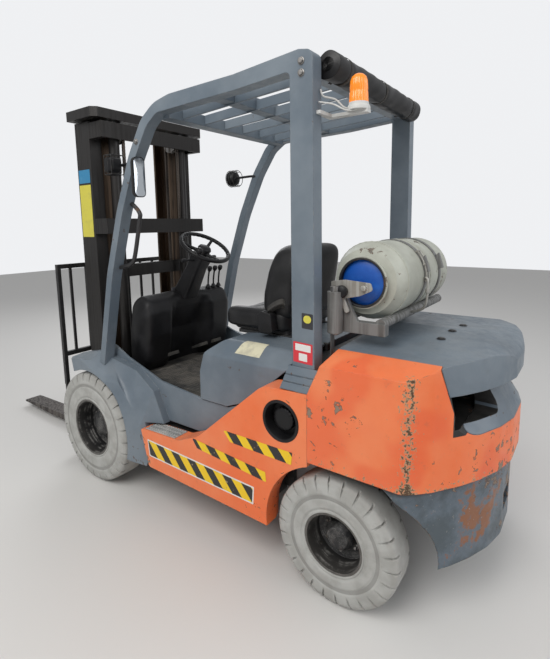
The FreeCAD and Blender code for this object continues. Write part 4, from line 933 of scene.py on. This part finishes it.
knob = [(-0.006, 0), (-0.006, 0.010), (0.006, 0.0155), (0.018, 0.016), (0.028, 0.011), (0.031, 0)]
boot = [(0, 0), (0, 0.020), (0.010, 0.014), (0.022, 0.009), (0.022, 0)]
levers = []
for y in (-0.300, -0.250, -0.200):
    line = smooth_line([(0.075, y, 1.080), (0.070, y, 1.140), (0.062, y, 1.185), (0.056, y, 1.205)], 14)
    levers += [tube(line, 0.0055, 10), turned(knob, line[-1], line[-1] - line[-3], 20),
               turned(boot, (0.074, y, 1.088), Z, 20)]
piece("lever_knobs", levers, hides="levers", angle=50)
print("cowl and levers done")

# %% [markdown]
# The beacon's dome has upright ribs: its radius rises and falls with the angle. It stands on a
# turned white foot, and two wires run from it to the guard's pillar.

# %% Beacon
BEACON = np.array((-1.305, 0.400, 1.900))
turn = np.arange(96) * 2 * np.pi / 96
DOME = np.array([(0.026, 0.0335), (0.040, 0.0330), (0.060, 0.0320), (0.066, 0.0300), (0.070, 0.0318),
                 (0.100, 0.0300), (0.114, 0.026), (0.122, 0.017), (0.1255, 0.008), (0.126, 0.0)])
high, wide = DOME[:, :1], DOME[:, 1:]
wide = wide * (1 + 0.035 * np.cos(24 * turn) * (high < 0.105))
dome = BEACON + np.stack((wide * np.cos(turn), wide * np.sin(turn), high + 0 * turn), -1)
piece("beacon_dome", [sheet(dome, around=True)], amber, hides="beacon")
foot = [(0.0, 0), (0.0, 0.041), (0.008, 0.042), (0.016, 0.039), (0.018, 0.036), (0.026, 0.0355),
        (0.028, 0.030), (0.028, 0)]
piece("beacon_foot", [turned(foot, BEACON, Z)], white_paint, hides="beacon", angle=50)
wires = [bent([(-1.290, 0.415, 1.905), (-1.262, 0.430, 1.912), (-1.235, 0.446, 1.940), (-1.2, 0.47, 1.952),
               (-1.192, 0.478, 1.975)], 30, 0.0035, 8),
         bent([(-1.305, 0.405, 1.9), (-1.280, 0.452, 1.896), (-1.240, 0.470, 1.918),
               (-1.192, 0.490, 1.930)], 30, 0.003, 8)]
piece("beacon_wires", wires, white_paint)
print("beacon done")

# %% [markdown]
# The left head lamp is an oblong moulded shell and the right one a round bowl. Each has a bright
# glass, an arm from the guard's pillar, and a cage of three wire loops tied by five short wires.
# The left cage is pressed flat where it would stand out beyond the guard.

# %% Head lamps
LEFT_LAMP, RIGHT_LAMP = np.array((0.0, 0.488, 1.820)), np.array((0.0, -0.470, 1.820))
CAGE_LIMIT = 0.5225
outline = oblong(0.036, 0.040, 0.014, 5)
sizes = ((0.014, 0.55), (0.018, 0.72), (0.030, 0.90), (0.050, 1.0), (0.068, 1.0), (0.0745, 0.98))
bowl = [(0.018, 0), (0.020, 0.024), (0.030, 0.038), (0.046, 0.048), (0.064, 0.0515), (0.078, 0.0515),
        (0.0795, 0.046), (0.079, 0)]
front = [(0.0795, 0), (0.0797, 0.020), (0.0796, 0.0455), (0.079, 0.0458), (0.079, 0)]
shells = [loft([outline * size for x, size in sizes], [x for x, size in sizes], LEFT_LAMP, Y, Z),
          turned(bowl, RIGHT_LAMP, X)]
glasses = [loft([outline * 0.9] * 2, (0.0748, 0.0775), LEFT_LAMP, Y, Z), turned(front, RIGHT_LAMP, X, 40)]
turn = np.arange(32) * np.pi / 16
circle = 0.055 * np.stack((np.cos(turn), np.sin(turn)), -1)
guards = []
CAGES = ((1, LEFT_LAMP, oblong(0.046, 0.050, 0.02, 5), 1.0), (-1, RIGHT_LAMP, circle, 0.93))
for s, lamp_at, loop, size in CAGES:
    shells.append(bent([(-0.140, 0.470 * s, 1.822), (-0.110, 0.458 * s, 1.824), (-0.040, 0.456 * s, 1.822),
                        (0.030, 0.456 * s, 1.820), (0.046, 0.462 * s, 1.820)], 30, 0.008))
    for x in (0.020, 0.050, 0.0785):
        path = lamp_at + x * X + loop[:, :1] * Y + loop[:, 1:] * Z
        path[:, 1] = np.minimum(path[:, 1], CAGE_LIMIT)
        guards.append(tube(path, 0.0022, 6, closed=True))
    for dy, dz in ((0.034, 0.049), (-0.034, 0.049), (0.034, -0.049), (-0.034, -0.049), (0.0, 0.053)):
        spot = lamp_at + size * (dy * Y + dz * Z)
        guards.append(tube([spot + x * X for x in (0.018, 0.050, 0.079)], 0.0022, 6))
piece("lamp_shells", shells, hides="head_lamps", angle=50)
piece("lamp_glass", glasses, glass, angle=50)
piece("lamp_guards", guards, soot)
print("lamps done")

# %% [markdown]
# The mirror is a rounded tray on an arm. Its glass is slightly domed: it stands out by a parabola of
# the distance from the middle.

# %% Mirror
MIRROR = np.array((-0.212, 0.5375, 1.735))
tray = oblong(0.033, 0.095, 0.022)
sizes = ((-0.0115, 0.93), (-0.013, 0.97), (-0.012, 1.0), (0.0, 1.0), (0.010, 0.94), (0.017, 0.80),
         (0.020, 0.5))
outlines = [tray * (1 - (1 - size) * 0.8, 1 - (1 - size) * 0.35) for x, size in sizes]
arm = [(-0.196, 0.535, 1.745), (-0.180, 0.528, 1.746), (-0.155, 0.515, 1.745), (-0.120, 0.505, 1.745)]
shell = [loft(outlines, [x for x, size in sizes], MIRROR, Y, Z), bent(arm, 16, 0.008)]
piece("mirror_tray", shell, hides="mirror", angle=40)
s = np.linspace(0.02, 1, 12)[:, None, None]
flat = 0.90 * tray[:, :1] * Y + 0.955 * tray[:, 1:] * Z
face = MIRROR + (-0.0122 - 0.0015 * (1 - s ** 2)) * X + s * flat
piece("mirror_glass", [sheet(face, around=True)], looking_glass)
print("mirror done")

# %% [markdown]
# A black vinyl curtain is rolled up at the back of the roof. The roll is a tube with slow dents and
# fine creases added to its radius, its ends show the winding as shallow rings, and three straps go
# round it to the roof bar.

# %% Rolled curtain
CURTAIN = np.array((-1.2023, 0.0, 2.067))
HALF_ROLL = 0.445
STRAPS_Y = (-0.34, 0.0, 0.34)
along = np.linspace(-HALF_ROLL, HALF_ROLL, 121)[:, None]
turn = np.arange(72) * 2 * np.pi / 72
wave = along / HALF_ROLL
dents = 0.0012 * np.sin(9 * wave + 2 * turn) + 0.0008 * np.sin(31 * wave - 3 * turn)
dents = dents + 0.0007 * np.sin(5 * turn)
lap = 0.0015 * rise(turn, 4.2, 4.32) * (turn < 6.2)
radius = 0.0490 + dents + lap - sum(hump(along - y, 0.014) for y in STRAPS_Y) * 0.0035
radius = radius * np.sqrt(np.clip(1 - rise(np.abs(along), 0.437, 0.445) ** 2, 0.25, 1))
roll = [sheet(about_y(CURTAIN, along, radius, turn), around=True)]
share = np.linspace(1, 0.0, 40)[:, None]
wind = 0.0022 * np.cos(2 * np.pi * (share * 0.049 / 0.0055) + turn) * (share < 0.93) * (share > 0.05)
for s, rim in ((-1, radius[0]), (1, radius[-1])):
    roll.append(sheet(about_y(CURTAIN, s * (HALF_ROLL - 0.0025 + wind), rim * share, turn), around=True))
piece("curtain_roll", roll, vinyl, hides="roof_roll")
straps = []
for y in STRAPS_Y:
    loop = about_y(CURTAIN, y, 0.0482, np.radians(np.linspace(38, 322, 60)))
    loop = np.concatenate(([(-1.151, y, loop[0, 2] + 0.004)], loop, [(-1.151, y, loop[-1, 2] - 0.004)]))
    straps.append(sheet(np.stack((loop - 0.011 * Y, loop + 0.011 * Y), 1)))
piece("curtain_straps", straps, rubber, thick=0.0015)
print("curtain done")

# %% [markdown]
# Each step has a pad of light anti-slip bars, and the floor has a ribbed rubber mat. Both are plain
# heightfields: the height is a train of rounded ridges, cut off near the edge. The pads follow the
# step's slope.

# %% Step pads and floor mat


def field(u, v, height):
    """A heightfield over a grid of x = u and y = v."""
    return np.stack(np.broadcast_arrays(u, v, height), -1)


def inward(u, v, width):
    """0 on the rectangle's border, 1 from a width inwards, and straight in between."""
    near = np.minimum(np.minimum(u - u.min(), u.max() - u), np.minimum(v - v.min(), v.max() - v))
    return np.clip(near / width, 0, 1)


def ridges(turns, steep):
    """A train of flat-topped ridges from 0 to 1, one for each turn."""
    return np.clip(np.cos(2 * np.pi * turns) * steep, -1, 1) * 0.5 + 0.5


def border(points):
    """The outer ring of a grid, once round."""
    return np.concatenate((points[0, :-1], points[:-1, -1], points[-1, :0:-1], points[:0:-1, 0]))


u = np.linspace(-0.400, -0.170, 119)[:, None]
v = np.linspace(0.464, 0.552, 61)
bars = ridges((u + 0.35 * (v - 0.508)) / 0.0175, 2.2)
slots = np.clip(np.cos(2 * np.pi * (v - 0.464) / 0.0293) * 3 + 2.0, 0, 1)
base = 0.4522 - 0.0417 * (u + 0.400)
for word, s in SIDES:
    top = field(u, v * s, base + 0.0012 + inward(u, v, 0.006) * (0.0008 + 0.0056 * bars * slots))
    skirt = field(u, v * s, base)
    wall = sheet(np.stack((border(top), border(skirt))), around=True)
    piece("step_pad_" + word, [sheet(top), wall, sheet(skirt)], step_rubber, hides="step_mats",
          angle=50)
u = np.linspace(-0.462, 0.056, 201)[:, None]
v = np.linspace(-0.418, 0.418, 41)
wear = 1 - 0.7 * hump(u + 0.25, 0.12) * hump(np.abs(v) - 0.17, 0.09)
height = 0.6464 + 0.0035 * inward(u, v, 0.02) * ridges(u / 0.0259, 2.0) * wear
height = height + 0.0004 * np.sin(7 * v / 0.418 + 11 * u)
piece("floor_mat", [sheet(field(u, v, height))], rubber, angle=50, thick=0.0003)
print("pads and mat done")

# %% [markdown]
# The fuel filler sits in a black liner with a rolled lip, and its cap has finger ribs. A bent grab
# bar stands behind the left front pillar, where the driver pulls up by it.

# %% Filler and grab bar
FILLER = (-1.053, 0.0, 0.715)
liner = [(0.5085, 0.0790), (0.5085, 0.0700), (0.5560, 0.0740), (0.5625, 0.0765), (0.5632, 0.0800),
         (0.5628, 0.0870), (0.5603, 0.0885), (0.5603, 0.0808), (0.5085, 0.0790)]
piece("filler_liner", [turned(liner, FILLER, Y, 96)], angle=40)
turn = np.arange(144) * 2 * np.pi / 144
CAP = np.array([(0.5086, 0.0475), (0.5300, 0.0475), (0.5370, 0.0468), (0.5395, 0.0440), (0.5400, 0.0300),
                (0.5385, 0.0)])
out, wide = CAP[:, :1], CAP[:, 1:]
wide = wide * (1 + 0.030 * np.clip(np.cos(18 * turn) * 2, -1, 1) * (wide > 0.046))
piece("filler_grip", [sheet(about_y(FILLER, out, wide, turn), around=True)], angle=50)
bar = bent([(-0.030, 0.478, 1.634), (-0.085, 0.478, 1.608), (-0.130, 0.478, 1.568), (-0.126, 0.478, 1.528),
            (-0.070, 0.478, 1.345), (-0.034, 0.478, 1.304), (0.026, 0.478, 1.288), (0.078, 0.478, 1.280)], 60,
           0.011, 14)
piece("grab_bar", [bar], soot)
print("filler and grab bar done")

# %% [markdown]
# Bolts tell the eye how big a thing is. They sit where the real truck is held together: the guard's
# pillars, the counterweight's lid, the mast's sides and its top beam, and the carriage.

# %% Bolts
MAST_XZ = ((0.230, 0.300), (0.230, 0.360), (0.390, 0.230), (0.390, 0.440))
BOLTS = [
    ("chassis", bare_steel, 0.019, 0.010, Y,
     [(-0.195, 0.5242, 1.905), (-1.140, 0.5242, 2.070), (-1.140, 0.5242, 2.030)]),
    ("chassis", soot, 0.019, 0.010, -Y, [(-1.140, -0.5242, z) for z in (2.070, 2.030, 1.70, 1.45)]),
    ("chassis", soot, 0.024, 0.005, Z,
     [(-1.583, -0.093, 1.0475), (-1.562, 0.169, 1.0425), (-1.572, 0.045, 1.0500)]),
    ("mast_outer", bare_steel, 0.024, 0.013, Y, [(x, 0.3882, z) for x, z in MAST_XZ]),
    ("mast_outer", bare_steel, 0.024, 0.013, -Y, [(x, -0.3882, z) for x, z in MAST_XZ]),
    ("mast_inner", bare_steel, 0.024, 0.013, Z, [(0.360, y, 2.1722) for y in (0.262, -0.262)]),
    ("carriage", bare_steel, 0.024, 0.013, X, [(0.7399, y, 0.425) for y in (0.450, -0.450, 0.040, -0.040)])]
for k, (body, finish, across, tall, way, spots) in enumerate(BOLTS):
    heads = [surface for spot in spots for surface in hexagon(spot, way, across, tall)]
    piece("bolts_%d" % k, heads, finish, body, angle=30)
print("bolts done")

# %% [markdown]
# The gas bottle lies on its cradle. Its painted blue end sits deep inside a collar, and a black ring of
# painted shade lines the collar's inside and front; weld beads go round it, and a valve closes the far
# end. A latch holds its strap: a plate, a lever with a black knob, two wires with cross pins, and a hook
# behind. The beads, the end and the valve are turned about the bottle's own axis, which runs across the truck.

# %% Gas bottle
BOTTLE = np.array((-1.312, 0.020, 1.272))
BOTTLE_R, STRAP_R = 0.154, 0.1625
LATCH_Y = 0.4095
TANK_PARTS = [
    ("end", blue_paint, "tank_grey", 60, 64,
     [(0.3450, 0.0), (0.3452, 0.030), (0.3435, 0.060), (0.3385, 0.080), (0.3345, 0.0885), (0.3255, 0.0885),
      (0.3255, 0.0)]),
    # the liner is painted shade: a black ring over the collar's inner wall and front face, standing for its
    # shadow round the blue end
    ("liner", soot, "black_steel", 40, 64,
     [(0.3262, 0.0904), (0.3262, 0.0886), (0.3520, 0.0886), (0.3538, 0.0905), (0.3544, 0.0940),
      (0.3535, 0.0976), (0.3523, 0.0976), (0.3523, 0.0904), (0.3262, 0.0904)]),
    ("valve", bare_steel, "bare_steel", 40, 24,
     [(-0.320, 0), (-0.320, 0.024), (-0.334, 0.026), (-0.336, 0.016), (-0.3485, 0.015), (-0.349, 0)])]
for name, finish, slot, angle, steps, profile in TANK_PARTS:
    piece("bottle_" + name, [turned(profile, BOTTLE, Y, steps)], finish, "tank", angle=angle)
t = np.arange(128) * 2 * np.pi / 128
wobble = 0.0006 * np.sin(37 * t)
BEADS = ((0.0, BOTTLE_R + 0.0006 + wobble, 0.0028), (0.262, BOTTLE_R - 0.0004 + wobble, 0.0028),
         (0.3465, 0.0995, 0.0035))
beads = [tube(about_y(BOTTLE, y, radius, t), thick, 8, closed=True) for y, radius, thick in BEADS]
piece("bottle_beads", beads, bottle_paint, "tank")
plate = rounded([(-1.200, 1.276, 0.006), (-1.261, 1.285, 0.02), (-1.366, 1.277, 0.010),
                 (-1.374, 1.250, 0.010), (-1.324, 1.226, 0.02), (-1.262, 1.212, 0.02), (-1.206, 1.204, 0.006)])
lever = rounded([(-1.240, 1.214, 0.004), (-1.262, 1.214, 0.004), (-1.284, 1.164, 0.008),
                 (-1.266, 1.155, 0.008)])
stud = [(0, 0), (0, 0.011), (0.010, 0.011), (0.012, 0.008), (0.012, 0)]
latch = [upright(plate, LATCH_Y - 0.006, LATCH_Y), upright(lever, LATCH_Y + 0.0005, LATCH_Y + 0.0075),
         turned(stud, (-1.340, LATCH_Y, 1.257), Y, 20)]
axle = BOTTLE * (1, 0, 1)
for y in (0.070, 0.100):
    latch.append(tube(about_y(axle, y, STRAP_R, np.radians(np.linspace(138, 184, 18))), 0.0032, 8))
for spot in about_y(axle, 0.085, STRAP_R, np.radians((138, 160, 184))):
    latch.append(tube([spot - 0.020 * Y, spot, spot + 0.020 * Y], 0.0046, 10))
hook = [(-1.474, 0.108, 1.276), (-1.484, 0.112, 1.262), (-1.484, 0.112, 1.200), (-1.474, 0.112, 1.152),
        (-1.442, 0.112, 1.132), (-1.408, 0.112, 1.124)]
latch.append(bent(hook, 40, 0.0052))
latch.append(turned([(0, 0), (0, 0.009), (0.018, 0.009), (0.018, 0)], (-1.484, 0.112, 1.212), Z, 6))
piece("bottle_latch", latch, zinc, "tank", angle=40)
knob = [(0, 0), (0, 0.012), (0.006, 0.024), (0.020, 0.025), (0.026, 0.018), (0.027, 0)]
piece("bottle_knob", [turned(knob, (-1.252, LATCH_Y, 1.240), Y, 28)], body="tank", angle=40)
print("bottle done")

# %% [markdown]
# The paper label lies on the hood's curved top. A flat grid is drawn above it and wrapped down on
# the hood with a Shrinkwrap modifier, which is then made part of the mesh.

# %% Label on the hood
LABEL_XY = ((-0.700, 0.425), (-0.715, 0.345), (-0.845, 0.345), (-0.845, 0.425))
a, b, c, d = np.array([(x, y, 0.98) for x, y in LABEL_XY])
u = np.linspace(0, 1, 14)[:, None, None]
v = np.linspace(0, 1, 14)[:, None]
grid = (a * (1 - u) + b * u) * (1 - v) + (d * (1 - u) + c * u) * v
label = piece("hood_label", [sheet(grid)], label_paper, "hood")
shrink = label.modifiers.new("lay on", "SHRINKWRAP")
shrink.target = nodes["hood"]
shrink.wrap_method = "PROJECT"
shrink.use_positive_direction = shrink.use_negative_direction = shrink.use_project_z = True
shrink.project_limit = 0.2
shrink.offset = 0.0006
flat = bpy.data.meshes.new_from_object(label.evaluated_get(bpy.context.evaluated_depsgraph_get()))
label.modifiers.clear()
label.data = flat
print("label done")

# %% [markdown]
# The room is plain: a pale floor, a pale world that the camera sees as near white, and three big
# soft lamps. Light Path tells the camera's own rays apart, so the backdrop's brightness adds
# nothing to the light on the truck.

# %% Floor, backdrop and light
ground = bpy.data.meshes.new("studio_floor")
corners = [(-14, -14, -0.0005), (14, -14, -0.0005), (14, 14, -0.0005), (-14, 14, -0.0005)]
ground.from_pydata(corners, [], [(0, 1, 2, 3)])
floor = bpy.data.objects.new("studio_floor", ground)
bpy.context.scene.collection.objects.link(floor)
stone, tree, shader = material("studio floor")
fill(tree, shader, {"Base Color": (0.72, 0.71, 0.69), "Roughness": 0.65})
ground.materials.append(stone)

world = bpy.data.worlds.new("studio")
bpy.context.scene.world = world
world.use_nodes = True
tree = world.node_tree
tree.nodes.clear()
path = add(tree, "LightPath").outputs
seen = calc(tree, "MAXIMUM", path["Is Camera Ray"], calc(tree, "MULTIPLY", path["Is Glossy Ray"], 0.35))
bright = ramp(tree, seen, 0.0, 1.0, 0.42, 0.92)
sky = add(tree, "Background", {"Color": (0.94, 0.95, 0.97), "Strength": bright})
tree.links.new(sky.outputs[0], add(tree, "OutputWorld").inputs[0])


def lamp(name, place, aim, size, power, colour):
    """A square area lamp at a place, turned to look at a point."""
    light = bpy.data.lights.new(name, "AREA")
    light.size, light.energy, light.color = size, power, colour
    made = bpy.data.objects.new(name, light)
    way = Vector(aim) - Vector(place)
    made.matrix_world = Matrix.Translation(place) @ way.to_track_quat("-Z", "Y").to_matrix().to_4x4()
    bpy.context.scene.collection.objects.link(made)


lamp("key", (-1.0, 3.8, 4.6), (-0.2, 0, 0.7), 3.2, 165, (1.0, 0.985, 0.96))
lamp("fill", (-5.2, -0.8, 3.0), (-0.2, 0, 0.9), 3.4, 75, (0.95, 0.97, 1.0))
lamp("rim", (3.6, -3.4, 4.2), (0, 0, 0.8), 3.0, 85, (0.97, 0.98, 1.0))
print("stage ready")
